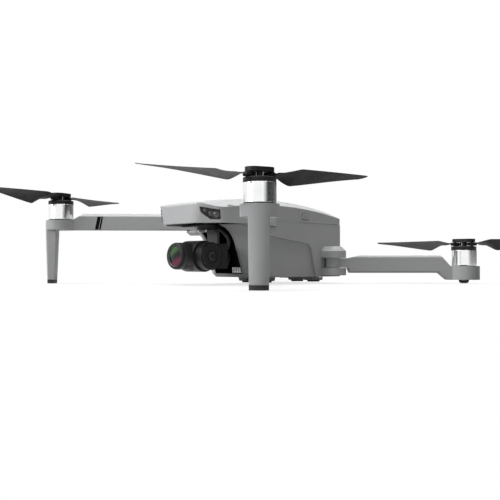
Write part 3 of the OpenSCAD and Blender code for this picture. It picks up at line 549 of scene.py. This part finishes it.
class Palette:
    """Every finish on the aircraft, made once and shared."""

    RECIPES: dict[str, object] = {
        "shell": MouldedPlastic((0.49, 0.495, 0.50), roughness=0.45, drift=0.03, specular=0.18),
        "arm": MouldedPlastic((0.46, 0.465, 0.47), roughness=0.45, drift=0.03, specular=0.18),
        "black": MouldedPlastic(
            (0.009, 0.009, 0.01), roughness=0.45, grain_depth=0.00002, edge=0.0004, specular=0.25
        ),
        "blade": MouldedPlastic(
            (0.01, 0.01, 0.0105), roughness=0.55, grain_depth=0.000015, edge=0.0002, specular=0.12
        ),
        "dark": MouldedPlastic(
            (0.014, 0.014, 0.015), roughness=0.4, grain_depth=0.00001, edge=0.0004, specular=0.25
        ),
        "barrel": MouldedPlastic((0.04, 0.04, 0.042), roughness=0.4, edge=0.0004, specular=0.35),
        # Near-black plastic of the gimbal bay's liner, darker than the other black parts: painted shade inside the
        # bay.
        "liner": MouldedPlastic((0.004, 0.004, 0.0045), roughness=0.7, specular=0.1),
        "bracket": MouldedPlastic((0.15, 0.152, 0.155), roughness=0.4, edge=0.0004, specular=0.35),
        "gloss": DarkWindow(),
        "rubber": Rubber(),
        "can": TurnedMetal((0.93, 0.935, 0.94), roughness=0.14),
        "pin": TurnedMetal((0.62, 0.62, 0.63), roughness=0.28),
        "seat": TurnedMetal((0.05, 0.045, 0.04), roughness=0.5),
        "heat_sink": TurnedMetal((0.8, 0.8, 0.81), roughness=0.5),
        "board": CircuitBoard(),
        "cell": MouldedPlastic((0.03, 0.05, 0.12), roughness=0.3),
        "ceramic": MouldedPlastic((0.55, 0.5, 0.38), roughness=0.6),
        "red": Lamp((0.35, 0.01, 0.012)),
        "indicator": Lamp((0.45, 0.6, 0.45), glow=0.3),
        # Lens elements: painted coating reflections, green above and magenta below.
        "element": LensCoating(),
        "sensor": DarkWindow((0.01, 0.01, 0.012), roughness=0.05, specular=0.9),
        "ink": MouldedPlastic((0.003, 0.003, 0.003), roughness=0.6, specular=0.05),
        "seam": MouldedPlastic((0.05, 0.05, 0.052), roughness=0.8, specular=0.1),
    }

    def __init__(self) -> None:
        """Starts with no material made."""
        self._made: dict[str, bpy.types.Material] = {}

    def get(self, name: str) -> bpy.types.Material:
        """The material of that finish, made at its first use."""
        if name not in self._made:
            self._made[name] = self.RECIPES[name].make("finish_" + name)
        return self._made[name]


@dataclass
class Workshop:
    """Makes finished pieces: mesh, material and body in one call."""

    palette: Palette
    made: list[str] = field(default_factory=list)

    def piece(
        self,
        name: str,
        patches: list[Patch],
        finish: str,
        body: str,
        slot: str | None = None,
        replaces: tuple[str, ...] = (),
        sharp_deg: float = 32.0,
    ) -> bpy.types.Object:
        """Builds one piece and rides it on its body.

        Args:
            name: the piece's name.
            patches: its surfaces, in millimetres in the row frame.
            finish: name of the finish in the palette.
            body: body that it moves with.
            slot: the record's material slot, or None where it has the finish's name; not used.
            replaces: CAD nodes that it stands for.
            sharp_deg: edges that turn by more than this stay sharp.

        Returns:
            The finished object.
        """
        obj = build_mesh(name, patches, sharp_deg)
        obj.data.materials.append(self.palette.get(finish))
        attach(obj, body)
        if replaces:
            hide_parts(*replaces)
        self.made.append(name)
        LOG.info("%s: %d faces, %s, on %s", name, len(obj.data.polygons), finish, body)
        return obj


# ---------------------------------------------------------------- the frame's own places


def joint_point(name: str) -> Array:
    """A joint's place in the row frame, in millimetres."""
    return np.array(next(j["pos_m"] for j in frame["joints"] if j["name"] == name), float) / MM


@dataclass(frozen=True)
class ArmAxis:
    """Directions and ends of one arm, read from the frame's joints."""

    row: Row
    side: Side

    @property
    def label(self) -> str:
        """Corner of the aircraft as it is written in names, such as front_left."""
        return f"{self.row.value}_{self.side.word}"

    @property
    def body(self) -> str:
        """Name of the arm's body."""
        return f"{self.row.value}_arm_{self.side.word}"

    @property
    def pivot(self) -> Array:
        """Point on the fold axis."""
        return joint_point(f"fold_{self.row.value}_arm_{self.side.word}")

    @property
    def motor(self) -> Array:
        """Point on the rotor axis."""
        return joint_point(f"spin_{self.label}")

    def along(self) -> Place:
        """Frame under the pivot, on the ground: X to the motor, Y forwards, Z up, left-handed on the left."""
        level = np.array([1.0, 1.0, 0.0])
        x = unit((self.motor - self.pivot) * level)
        y = np.array([x[1], -x[0], 0.0]) * self.side.value
        return Place(self.pivot * level, x, y, Z)


CORNERS = [ArmAxis(row, side) for row in Row for side in Side]


# ---------------------------------------------------------------- sub-assemblies


@dataclass
class Rotor:
    """One rotor: two twisted blades, their screws and the details of the hub."""

    shop: Workshop
    arm: ArmAxis
    radius: float = 79.0
    pin_offset: float = 7.2
    pin_r: float = 1.06
    eye_r: float = 3.9
    eye_half: float = 1.3
    widest: float = 20.0
    stations: int = 56
    sides: int = 30
    screw_r: float = 1.9
    screw_socket_r: float = 0.75
    screw_top: float = 3.9
    collar_r: float = 10.35
    collar_bore: float = 8.7
    collar_top: float = 3.2
    spacer_r: float = 0.38
    spacer_ring_r: float = 2.7
    spacer_ends: tuple[float, float] = (3.5, 6.9)
    spacer_headings: tuple[float, ...] = (-95.0, 5.0, 85.0, 185.0)

    def chord(self, t: Array) -> Array:
        """Chord along the blade: a sine swell over the first fifth, a power taper, an elliptic tip."""
        swell = 0.36 + 0.64 * np.sin(np.pi / 2 * np.clip(t / 0.22, 0, 1))
        taper = 1 - 0.62 * np.clip((t - 0.22) / 0.78, 0, 1) ** 1.5
        tip = np.sqrt(np.clip(1 - np.clip((t - 0.93) / 0.0702, 0, 1) ** 2, 0.0, 1))
        return self.widest * np.where(t < 0.22, swell, taper) * tip

    def pitch(self, t: Array) -> Array:
        """Pitch in radians: flat over the hub, then steep, then washed out towards the tip."""
        rise = 7 + 20 * np.clip((t - 0.12) / 0.13, 0, 1)
        return np.radians(np.where(t < 0.25, rise, 27 - 18 * (t - 0.25) / 0.75))

    def blade_surface(self) -> Patch:
        """Blade as a function of (station, angle): an aerofoil ellipse with camber, turned by the pitch.

        Returns:
            The blade's closed surface in its own frame, X outwards from the pin.
        """
        length = self.radius - self.pin_offset
        t = 0.045 + 0.955 * np.sin(np.linspace(0.02, 1, self.stations) * np.pi / 2) ** 1.25
        angle = np.linspace(0, 2 * np.pi, self.sides, endpoint=False)
        c, p = self.chord(t)[:, None], self.pitch(t)[:, None]
        h = (1.5 - 0.9 * np.clip(t / 0.3, 0, 1))[:, None] * np.clip(c / 3, 0.15, 1)
        u = c / 2 * np.cos(angle)
        v = h / 2 * np.sin(angle) * (0.75 + 0.25 * np.cos(angle)) + 0.04 * c * np.sin(angle) ** 2
        lead = 0.8 + 2.8 * np.clip((t - 0.1) / 0.15, 0, 1) - 1.4 * np.clip(t - 0.25, 0, None)
        x = np.broadcast_to((t * length)[:, None], u.shape)
        z = lead[:, None] - c * np.sin(p) / 2 + u * np.sin(p) + v * np.cos(p)
        points = np.stack([x, -u * np.cos(p) - v * np.sin(p), z], axis=-1)
        root = np.broadcast_to(points[0].mean(0), (1, *points[0].shape))
        tip = np.broadcast_to(points[-1].mean(0), (1, *points[0].shape))
        return grid(np.concatenate([root, points, tip]), close_v=True)

    def blade(self, key: str) -> None:
        """Makes one blade, from its eye to its tip, and the screw in its eye.

        Args:
            key: a or b, the blade's letter in the names of nodes.
        """
        label = self.arm.label
        pin = joint_point(f"fold_blade_{label}_{key}")
        out = pin - self.arm.motor
        out[2] = 0
        x = unit(out)
        place = Place(pin, x, np.array([-x[1], x[0], 0.0]) * self.arm.side.value, Z)
        r, h, bevel = self.eye_r, self.eye_half, 0.4
        lower = [(self.pin_r, -h), (r - bevel, -h), (r, bevel - h)]
        upper = [(r, h - bevel), (r - bevel, h), (self.pin_r, h)]
        eye = revolve(lower + upper, 40, closed=True)
        self.shop.piece(
            f"blade_skin_{label}_{key}",
            [place.put(eye), place.put(self.blade_surface())],
            "blade",
            f"rotor_blade_{label}_{key}",
            "black",
            (f"blade_{label}_{key}",),
            45,
        )
        r, top, socket = self.screw_r, self.screw_top, self.screw_socket_r
        head = [
            (0, top - 0.4), (socket, top - 0.4), (socket, top), (r - 0.2, top), (r, top - 0.2),
            (r, top - 0.9), (0, top - 0.9),
        ]
        screw = place.put(revolve(head, 24))
        self.shop.piece(f"blade_screw_{label}_{key}", [screw], "pin", f"rotor_{label}")

    def hub(self) -> None:
        """Makes the clamp collar on the can and the bright spacers beside the core."""
        label = self.arm.label
        _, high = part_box(f"bell_{label}")
        can_top = Place(np.array([*self.arm.motor[:2], high.z / MM]), X, Y, Z)
        r, bore, top = self.collar_r, self.collar_bore, self.collar_top
        collar = [(bore, 0.1), (r - 0.1, 0.1), (r, 0.3), (r, top - 0.3), (r - 0.25, top), (bore, top)]
        ring = can_top.put(revolve(collar, 96, closed=True))
        self.shop.piece(f"hub_collar_{label}", [ring], "black", f"rotor_{label}")
        low, high = self.spacer_ends
        post = revolve([(0, low), (self.spacer_r, low), (self.spacer_r, high), (0, high)], 20)
        turned = self.arm.side.value if self.arm.row is Row.FRONT else 1
        headings = np.radians(self.spacer_headings) * turned
        ways = self.spacer_ring_r * np.column_stack([np.cos(headings), np.sin(headings)])
        spacers = [can_top.shifted(*way).put(post) for way in ways]
        self.shop.piece(f"hub_spacers_{label}", spacers, "pin", f"rotor_{label}")

    def build(self) -> None:
        """Makes both blades and the details of the hub."""
        for key in "ab":
            self.blade(key)
        self.hub()


@dataclass
class FrontArm:
    """Trim of a front arm: two slanted stripes on its forward face."""

    shop: Workshop
    arm: ArmAxis
    half_width: float = 6.2
    low: float = 44.7
    high: float = 55.7
    sunk: float = 0.2
    proud: float = 0.06
    slant: float = 2.1

    def stripe(self, name: str, start: float, width: float) -> None:
        """A painted stripe: a thin slanted plate on the arm's forward face.

        Args:
            name: the piece's name.
            start: distance of its lower corner from the pivot.
            width: its width along the arm.
        """
        lower = [(start, self.low), (start + width, self.low)]
        upper = [(start + width - self.slant, self.high), (start - self.slant, self.high)]
        plate = slab(np.array(lower + upper), -self.sunk, self.proud)
        place = self.arm.along()
        face = Place(place.origin + place.y * self.half_width, place.x, place.z, place.y)
        self.shop.piece(name, [face.put(plate)], "ink", self.arm.body, "black")

    def build(self) -> None:
        """Makes both stripes."""
        self.stripe(f"stripe_wide_{self.arm.label}", start=80.1, width=2.8)
        self.stripe(f"stripe_narrow_{self.arm.label}", start=78.2, width=1.35)


@dataclass
class Headlamp:
    """Eye in a leaning cheek of the nose: dark window, thin rim, two round sensors and a lamp.

    The window's edges are lists of (distance along the cheek, height), and each sensor has its name, those
    two and its radius.
    """

    shop: Workshop
    side: Side
    nose_half: float = 23.0
    roof: float = 62.0
    cheek_rise: float = 10.6
    cheek_run: float = 13.5
    lean_deg: float = 11.0
    nose_bend: float = 14.0
    side_bend: float = 11.0
    top_edge: tuple[tuple[float, float], ...] = ((0.6, 58.2), (16.3, 55.7))
    low_edge: tuple[tuple[float, float], ...] = ((0.6, 58.1), (1.72, 54.1), (8.58, 49.2), (16.3, 49.1))
    sensors: tuple[tuple[str, float, float, float], ...] = (
        ("near", 13.2, 52.4, 2.1),
        ("far", 8.9, 53.3, 1.5),
        ("lamp", 4.7, 55.4, 1.0),
    )
    proud: float = 0.04
    depth: float = 1.0
    rim_r: float = 0.17

    def surface(self, s: Array, z: Array, proud: float) -> Array:
        """Points on the nose's skin: a plane cheek between two bends, leaning in towards the bottom.

        Along the cheek the heading a of the outward normal is constant on the plane and runs evenly over each
        bend, from 0 on the nose to 90 degrees on the side. The skin moves in by tan(lean) per unit of depth.

        Args:
            s: distance along the cheek from its corner with the nose.
            z: height.
            proud: distance out of the skin.

        Returns:
            The points, with a last axis of three.
        """
        low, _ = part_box("upper_shell")
        nose = low.y / MM
        cheek = math.atan2(self.cheek_rise, self.cheek_run)
        length = math.hypot(self.cheek_rise, self.cheek_run)
        rest = math.pi / 2 - cheek
        t0, t1 = self.nose_bend * math.tan(cheek / 2), self.side_bend * math.tan(rest / 2)
        a = cheek * np.clip((s + t0) / (2 * t0), 0, 1) + rest * np.clip((s - length + t1) / (2 * t1), 0, 1)
        lean = math.radians(self.lean_deg) * np.where(a <= cheek, a / cheek, (math.pi / 2 - a) / rest)
        first = np.array([self.nose_half - t0, nose + self.nose_bend])
        second = np.array([self.nose_half + self.cheek_run - self.side_bend, nose + self.cheek_rise + t1])
        flat = np.array([self.nose_half, nose]) + np.clip(s, t0, length - t1)[..., None] * np.array(
            [math.cos(cheek), math.sin(cheek)]
        )
        out = np.stack([np.sin(a), -np.cos(a)], axis=-1)
        xy = np.where((s < t0)[..., None], first + self.nose_bend * out, flat)
        xy = np.where((s > length - t1)[..., None], second + self.side_bend * out, xy)
        xy = xy + out * (proud - (self.roof - z) * np.tan(lean))[..., None]
        return np.stack([xy[..., 0] * self.side.value, xy[..., 1], z], axis=-1)

    def window(self) -> None:
        """Makes the window that follows the bends, and the rim round its edge."""
        along = np.linspace(self.top_edge[0][0], self.top_edge[-1][0], 48)[:, None]
        top, low = (np.interp(along, *np.transpose(edge)) for edge in (self.top_edge, self.low_edge))
        height = low + (top - low) * np.linspace(0, 1, 12)
        s = np.broadcast_to(along, height.shape)
        skin, back = self.surface(s, height, self.proud), self.surface(s, height, -self.depth)
        around = grid(np.concatenate([skin, back[:, ::-1]], axis=1), close_v=True)
        ends = [grid(np.stack([skin[i], back[i]])) for i in (0, -1)]
        word = self.side.word
        self.shop.piece(
            f"lamp_window_{word}", [around, *ends], "gloss", "airframe", "gloss", (f"headlamp_{word}",)
        )
        edge_s = np.concatenate([along[:, 0], along[::-1, 0], along[:1, 0]])
        edge_z = np.concatenate([top[:, 0], low[::-1, 0], top[:1, 0]])
        rim = sweep(self.surface(edge_s, edge_z, 0.03), self.rim_r, 8)
        self.shop.piece(f"lamp_rim_{word}", [rim], "seam", "airframe", "black")

    def sensor(self, name: str, s: float, z: float, r: float) -> None:
        """Makes the ring and the domed glass of one round window in the lamp.

        Args:
            name: the sensor's name.
            s: distance of its centre along the cheek.
            z: height of its centre.
            r: radius of its glass.
        """
        step = np.array([0.0, 0.5, 0.0])
        centre, ahead, above = self.surface(s + step, z + np.roll(step, 1), self.proud)
        spot = Place.at(centre, np.cross(ahead - centre, above - centre) * self.side.value, ahead - centre)
        ring = revolve([(r, -0.3), (r, 0.1), (r + 0.3, 0.1), (r + 0.4, -0.3)], 32, closed=True)
        dome = revolve([(0.0, 0.45), (r * 0.5, 0.36), (r * 0.85, 0.14), (r, -0.2), (0, -0.2)], 32)
        tag = f"{name}_{self.side.word}"
        self.shop.piece(f"sensor_ring_{tag}", [spot.put(ring)], "bracket", "airframe")
        self.shop.piece(f"sensor_glass_{tag}", [spot.put(dome)], "sensor", "airframe", "gloss")

    def build(self) -> None:
        """Makes the window, its rim and its sensors."""
        self.window()
        for sensor in self.sensors:
            self.sensor(*sensor)


@dataclass
class Camera:
    """Stabilised camera: the lens in its barrel, and the trim of its housings and its gimbal."""

    shop: Workshop
    barrel_r: float = 10.2
    groove_places: tuple[float, ...] = (-5.9, -14.4)
    glass_r: float = 7.95
    glass_recess: float = 0.75
    glass_crown: float = 0.8
    glass_back: float = -2.3
    motor_mark_r: float = 2.7
    yaw_screw_x: float = 4.4
    cable_r: float = 0.42
    cable_strands: int = 6

    def lens(self, place: Place) -> None:
        """Makes the front lens element, a paraboloid z = -recess - crown (r / R)^2, and its bright bezel.

        Args:
            place: frame at the middle of the lens ring's front, Z forwards.
        """
        r = np.linspace(0, self.glass_r, 14)
        crown = -self.glass_recess - self.glass_crown * (r / self.glass_r) ** 2
        front = [*zip(r, crown), (self.glass_r, self.glass_back), (0.0, self.glass_back)]
        glass = place.put(revolve(front, 64))
        self.shop.piece("lens_element_front", [glass], "element", "camera", "lens", ("lens_glass",))
        bright = [
            (7.4, -1.5), (7.5, -1.2), (7.96, -0.15), (8.2, 0.0), (8.35, -0.1), (8.35, -0.6), (7.98, -1.6),
        ]
        self.shop.piece("lens_bezel", [place.put(revolve(bright, 72, closed=True))], "bracket", "camera")

    def barrel(self, place: Place) -> None:
        """Makes the turned lines round the lens barrel.

        Args:
            place: frame at the middle of the lens ring's front, Z forwards.
        """
        low, high = self.barrel_r - 0.3, self.barrel_r + 0.05
        for i, z in enumerate(self.groove_places):
            line = revolve([(low, z), (high, z + 0.05), (high, z + 0.35), (low, z + 0.4)], 72, closed=True)
            self.shop.piece(f"barrel_line_{i}", [place.put(line)], "black", "camera")

    def pitch_motor(self) -> None:
        """Makes the open ring on the pitch motor's face, a raised ring that is partly a painted highlight, and the
        rim of its housing.
        """
        pitch = joint_point("gimbal_pitch_axis")
        _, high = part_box("pitch_motor")
        face = Place.at(np.array([high.x / MM, *pitch[1:]]), X, Y)
        # Open pale grey arc: a raised ring whose open shape and pale colour paint the highlight on the motor cap.
        angle = np.radians(np.linspace(60, 300, 40))
        r = self.motor_mark_r
        arc = np.column_stack([r * np.cos(angle), r * np.sin(angle), np.full(len(angle), 0.02)])
        self.shop.piece("pitch_ring_mark", [face.put(sweep(arc, 0.3, 8))], "bracket", "gimbal_roll")
        rim = revolve([(8.9, -0.2), (8.95, 0.08), (9.25, 0.08), (9.3, -0.2)], 72, closed=True)
        self.shop.piece("pitch_face_rim", [face.put(rim)], "barrel", "gimbal_roll", "dark")

    def yaw_trim(self) -> None:
        """Makes the two screws in the yaw arm, and the flex cable, whose strands bow out and back."""
        yaw = joint_point("gimbal_yaw_axis")
        head = revolve([(0, 0.45), (0.7, 0.4), (0.9, 0.15), (0.9, -0.3), (0, -0.3)], 20)
        heads = [
            Place.at(yaw + np.array([x, -6.0, -3.0]), -Y, X).put(head)
            for x in (-self.yaw_screw_x, self.yaw_screw_x)
        ]
        self.shop.piece("yaw_arm_screws", heads, "pin", "gimbal_yaw")
        t = np.linspace(0, 1, 40)
        bow = 3.0 * np.sin(np.pi * t)
        path = np.array([0.0, *yaw[1:]]) + np.column_stack([7.4 + bow, 3.0 + 9.0 * t + bow, -1.0 - 16.0 * t])
        offsets = np.linspace(0, 2.6, self.cable_strands)
        ribbon = [sweep(path + offset * Y, self.cable_r, 8) for offset in offsets]
        self.shop.piece("gimbal_cable", ribbon, "bracket", "gimbal_yaw")

    def build(self) -> None:
        """Makes the lens, the barrel's lines and the trim of the gimbal."""
        low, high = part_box("camera_body")
        ring_low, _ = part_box("lens_ring")
        place = Place.at(np.array([0.0, ring_low.y / MM, (low.z + high.z) / MM / 2]), -Y, X)
        self.lens(place)
        self.barrel(place)
        self.pitch_motor()
        self.yaw_trim()


@dataclass
class ShellTrim:
    """Trim of the shells and pods: battery latches, hinge caps, tail slots and the pods' screws."""

    shop: Workshop
    latch_half: tuple[float, float] = (3.9, 2.3)
    latch_round: float = 1.5
    ridge_half: tuple[float, float] = (0.3, 1.5)
    ridge_places: tuple[float, ...] = (-1.6, 0.0, 1.6)
    tongue_half: tuple[float, float] = (5.0, 2.3)
    hinge_top: dict[Row, float] = field(default_factory=lambda: {Row.FRONT: 61.2, Row.REAR: 30.8})
    front_pod_low: float = 44.5
    pod_screw_r: float = 1.3
    pod_screw_ring_r: float = 8.2
    pod_screw_headings: tuple[float, ...] = (-70.0, 0.0, 70.0)
    slot_count: int = 7
    slot_step: float = 5.2
    slot_z: float = 19.0
    slot_half: tuple[float, float] = (1.2, 4.0)

    def latch(self, side: Side) -> None:
        """Raised latch button with round corners and three grip ridges, in place of the plain CAD block."""
        low, high = (np.array(corner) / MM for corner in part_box(f"latch_{side.word}"))
        centre = (low + high) / 2
        centre[0] = side.value * max(abs(low[0]), abs(high[0]))
        place = Place(centre, Y, Z, X * side.value)
        button = slab(smooth_outline(rectangle(*self.latch_half), self.latch_round, 7), -2.7, 0.0, 0.45)
        ridge = slab(smooth_outline(rectangle(*self.ridge_half), 0.2, 4), -0.3, 0.25, 0.12)
        tongue = slab(np.array(rectangle(*self.tongue_half)), -3.7, -2.5, 0.1)
        ridges = [place.shifted(x).put(ridge) for x in self.ridge_places]
        self.shop.piece(
            f"latch_button_{side.word}", [place.put(button), place.put(tongue), *ridges],
            "shell", f"battery_latch_{side.word}", "shell", (f"latch_{side.word}",),
        )

    def hinge_caps(self) -> None:
        """Caps over the tops of the four hinge pins."""
        profile = [(0, 0.1), (1.0, 0.1), (1.15, 0.3), (2.5, 0.3), (2.8, 0.05), (2.8, -0.4), (0, -0.4)]
        for arm in CORNERS:
            place = Place(np.array([*arm.pivot[:2], self.hinge_top[arm.row]]), X, Y, Z)
            cap = place.put(revolve(profile, 40))
            self.shop.piece(f"hinge_cap_{arm.label}", [cap], "bracket", "airframe")

    def pod_screws(self) -> None:
        """Three socket screws under each motor pod, spread about the side that looks to the pivot."""
        r = self.pod_screw_r
        socket = [(0, -0.35), (r * 0.42, -0.35), (r * 0.5, 0.18)]
        rim = [(r * 0.86, 0.18), (r, 0.04), (r, -0.5), (0, -0.5)]
        head = revolve(socket + rim, 28)
        for arm in CORNERS:
            node_low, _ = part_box(f"arm_{arm.label}")
            low = self.front_pod_low if arm.row is Row.FRONT else node_low.z / MM
            inward = -arm.along().x
            ways = [
                inward * math.cos(a) + np.cross(Z, inward) * math.sin(a)
                for a in np.radians(self.pod_screw_headings)
            ]
            under = np.array([*arm.motor[:2], low])
            heads = [Place.at(under + way * self.pod_screw_ring_r, -Z, way).put(head) for way in ways]
            self.shop.piece(f"pod_screws_{arm.label}", heads, "pin", arm.body)

    def tail(self) -> None:
        """Row of cooling slots in the tail, under the lamp: flat dark grey plates whose colour is painted shade
        inside the openings.
        """
        _, lamp_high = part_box("tail_lamp")
        middle = Place.at(np.array([0.0, lamp_high.y / MM, self.slot_z]), Y, X)
        slot = slab(smooth_outline(rectangle(*self.slot_half), 1.0, 6), -0.4, 0.04, 0.02)
        places = (np.arange(self.slot_count) - (self.slot_count - 1) / 2) * self.slot_step
        slots = [middle.shifted(x).put(slot) for x in places]
        self.shop.piece("tail_slots", slots, "seam", "airframe", "black")

    def build(self) -> None:
        """Makes all of it."""
        for side in Side:
            self.latch(side)
        self.hinge_caps()
        self.pod_screws()
        self.tail()


@dataclass
class CadDress:
    """Gives every CAD node its finish, also where a piece stands for it."""

    palette: Palette
    # The copper slot gets the dark seat metal: painted shade in the gaps under the motor cans. The lens slot gets
    # the element finish with its painted coating reflections.
    finish_of_slot: dict[str, str] = field(
        default_factory=lambda: {"copper": "seat", "lens": "element"}
    )
    # The bay liner takes the near-black liner finish: black plastic darkened further, painted shade inside the
    # gimbal bay.
    finish_of_node: dict[str, str] = field(
        default_factory=lambda: {"bay_liner": "liner", "camera_body": "barrel"}
    )

    def build(self) -> None:
        """Assigns the finish of its record slot to each node."""
        for part in frame["record"]["subparts"]:
            node = frame["nodes"][part["node"]]
            name = self.finish_of_slot.get(part["material_slot"], part["material_slot"])
            name = self.finish_of_node.get(part["node"], name)
            node.data.materials.clear()
            node.data.materials.append(self.palette.get(name))
            LOG.info("%s: CAD node, %s", part["node"], name)


# ---------------------------------------------------------------- studio


@dataclass
class Studio:
    """Floor, backdrop, lamps and camera of the photograph's studio."""

    camera_mm: tuple[float, float, float] = (441.0, -417.4, 15.4)
    yaw_deg: float = 45.65
    pitch_deg: float = 1.14
    focal_px: float = 745.0
    photo_px: float = 500.0
    sensor_mm: float = 36.0
    ambient: float = 0.22
    floor_z: float = -0.3
    floor_rings: tuple[float, ...] = (0.0, 900.0, 6000.0)
    floor_glow: tuple[float, float] = (0.72, 1.0)
    floor_glow_ends: tuple[float, float] = (0.2, 0.75)
    floor_bounce: float = 0.3
    card_r: float = 3000.0
    card_ends: tuple[float, float] = (-200.0, 2200.0)

    def world(self) -> None:
        """White to the camera and in reflections, and a weak even light on everything else."""
        world = bpy.data.worlds.new("studio_world")
        bpy.context.scene.world = world
        g = NodeGraph(world, "ShaderNodeOutputWorld")
        rays = g.node("ShaderNodeLightPath").outputs
        seen = g.maths("MAXIMUM", rays["Is Camera Ray"], rays["Is Transmission Ray"])
        bright = g.maths("MAXIMUM", seen, rays["Is Glossy Ray"])
        strength = g.between(bright, self.ambient, 1.0, 0.0, 1.0)
        g.finish(g.node("ShaderNodeBackground", {"Color": (1, 1, 1, 1), "Strength": strength}))

    def floor(self) -> None:
        """A wide pale floor that looks white to the camera but keeps a soft shadow."""
        angle = np.linspace(0, 2 * np.pi, 96, endpoint=False)
        r = np.array(self.floor_rings)[:, None]
        level = np.full((len(r), len(angle)), self.floor_z)
        points = np.stack([r * np.cos(angle), r * np.sin(angle), level], axis=-1)
        disc = build_mesh("floor", [grid(points, close_v=True)])
        g = NodeGraph.material("studio_floor")
        rays = g.node("ShaderNodeLightPath").outputs
        far = g.node("ShaderNodeVectorMath", {0: g.object_point()}, operation="LENGTH").outputs["Value"]
        share = g.between(far, *self.floor_glow, *self.floor_glow_ends)
        seen = g.maths("MAXIMUM", rays["Is Camera Ray"], rays["Is Glossy Ray"])
        pale = g.node("ShaderNodeBsdfDiffuse", {"Color": (0.9, 0.9, 0.9, 1)}).outputs[0]
        glow = g.node("ShaderNodeEmission", {"Color": (1, 1, 1, 1), "Strength": 1.0}).outputs[0]
        bounce = g.node("ShaderNodeBsdfDiffuse", {"Color": (self.floor_bounce,) * 3 + (1,)}).outputs[0]
        shown = g.node("ShaderNodeMixShader", {0: share, 1: pale, 2: glow}).outputs[0]
        disc.data.materials.append(g.finish(g.node("ShaderNodeMixShader", {0: seen, 1: bounce, 2: shown})))

    def lamp(self, name: str, place: tuple[float, float, float], size: float, power: float) -> None:
        """A square softbox that faces the aircraft.

        Args:
            name: the lamp's name.
            place: its centre, in metres.
            size: length of its side, in metres.
            power: its power, in watts.
        """
        data = bpy.data.lights.new(name, "AREA")
        data.shape = "SQUARE"
        data.size = size
        data.energy = power
        obj = bpy.data.objects.new(name, data)
        obj.location = place
        obj.rotation_euler = (Vector((0, 0, 0.04)) - Vector(place)).to_track_quat("-Z", "Y").to_euler()
        bpy.context.scene.collection.objects.link(obj)

    def card(self, name: str, start_deg: float, end_deg: float, levels: tuple[float, float]) -> None:
        """An upright bent card that only reflections see, for the dark bands on the motor cans.

        Args:
            name: the card's name.
            start_deg: heading of its first edge, turned from +X.
            end_deg: heading of its last edge.
            levels: its brightness at the first and the last edge.
        """
        heading = np.radians(np.linspace(start_deg, end_deg, 24))[:, None]
        x, y = self.card_r * np.cos(heading), self.card_r * np.sin(heading)
        points = np.stack(np.broadcast_arrays(x, y, np.array([self.card_ends])), axis=-1)
        sheet = build_mesh(name, [grid(points)])
        g = NodeGraph.material(name)
        x, y, _ = g.node("ShaderNodeSeparateXYZ", {0: g.object_point()}).outputs
        turned = g.maths("ARCTAN2", y, x)
        strength = g.between(turned, *levels, math.radians(start_deg), math.radians(end_deg))
        glow = g.node("ShaderNodeEmission", {"Color": (1, 1, 1, 1), "Strength": strength})
        sheet.data.materials.append(g.finish(glow))
        sheet.visible_camera = False
        sheet.visible_diffuse = False
        sheet.visible_transmission = False
        sheet.visible_shadow = False

    def camera(self) -> None:
        """Camera at the photograph's place, turned by its yaw and pitch."""
        data = bpy.data.cameras.new("camera")
        data.sensor_width = self.sensor_mm
        data.lens = self.focal_px / self.photo_px * self.sensor_mm
        data.clip_start = 0.02
        data.clip_end = 30.0
        obj = bpy.data.objects.new("camera", data)
        obj.location = [c * MM for c in self.camera_mm]
        obj.rotation_euler = (math.radians(90 + self.pitch_deg), 0, math.radians(self.yaw_deg))
        bpy.context.scene.collection.objects.link(obj)
        bpy.context.scene.camera = obj

    def build(self) -> None:
        """Sets up the whole studio."""
        bpy.context.scene.view_settings.view_transform = "Standard"
        self.world()
        self.floor()
        self.lamp("key", (-0.5, -1.6, 0.75), size=1.1, power=22.0)
        self.lamp("top", (-0.2, 0.1, 1.7), size=1.6, power=36.0)
        self.card("card_fade", -26, 8, (1.15, 0.03))
        self.card("card_dark", 8, 60, (0.03, 0.08))
        self.card("card_grey", 60, 120, (0.08, 0.3))
        self.camera()


def main() -> None:
    """Dresses the frame, adds every piece and sets up the studio."""
    logging.basicConfig(level=logging.INFO, format="%(message)s")
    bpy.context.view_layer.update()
    palette = Palette()
    shop = Workshop(palette)
    CadDress(palette).build()
    for arm in CORNERS:
        Rotor(shop, arm).build()
        if arm.row is Row.FRONT:
            FrontArm(shop, arm).build()
    for side in Side:
        Headlamp(shop, side).build()
    Camera(shop).build()
    ShellTrim(shop).build()
    Studio().build()
    LOG.info("%d pieces made", len(shop.made))


if __name__ == "__main__":
    main()
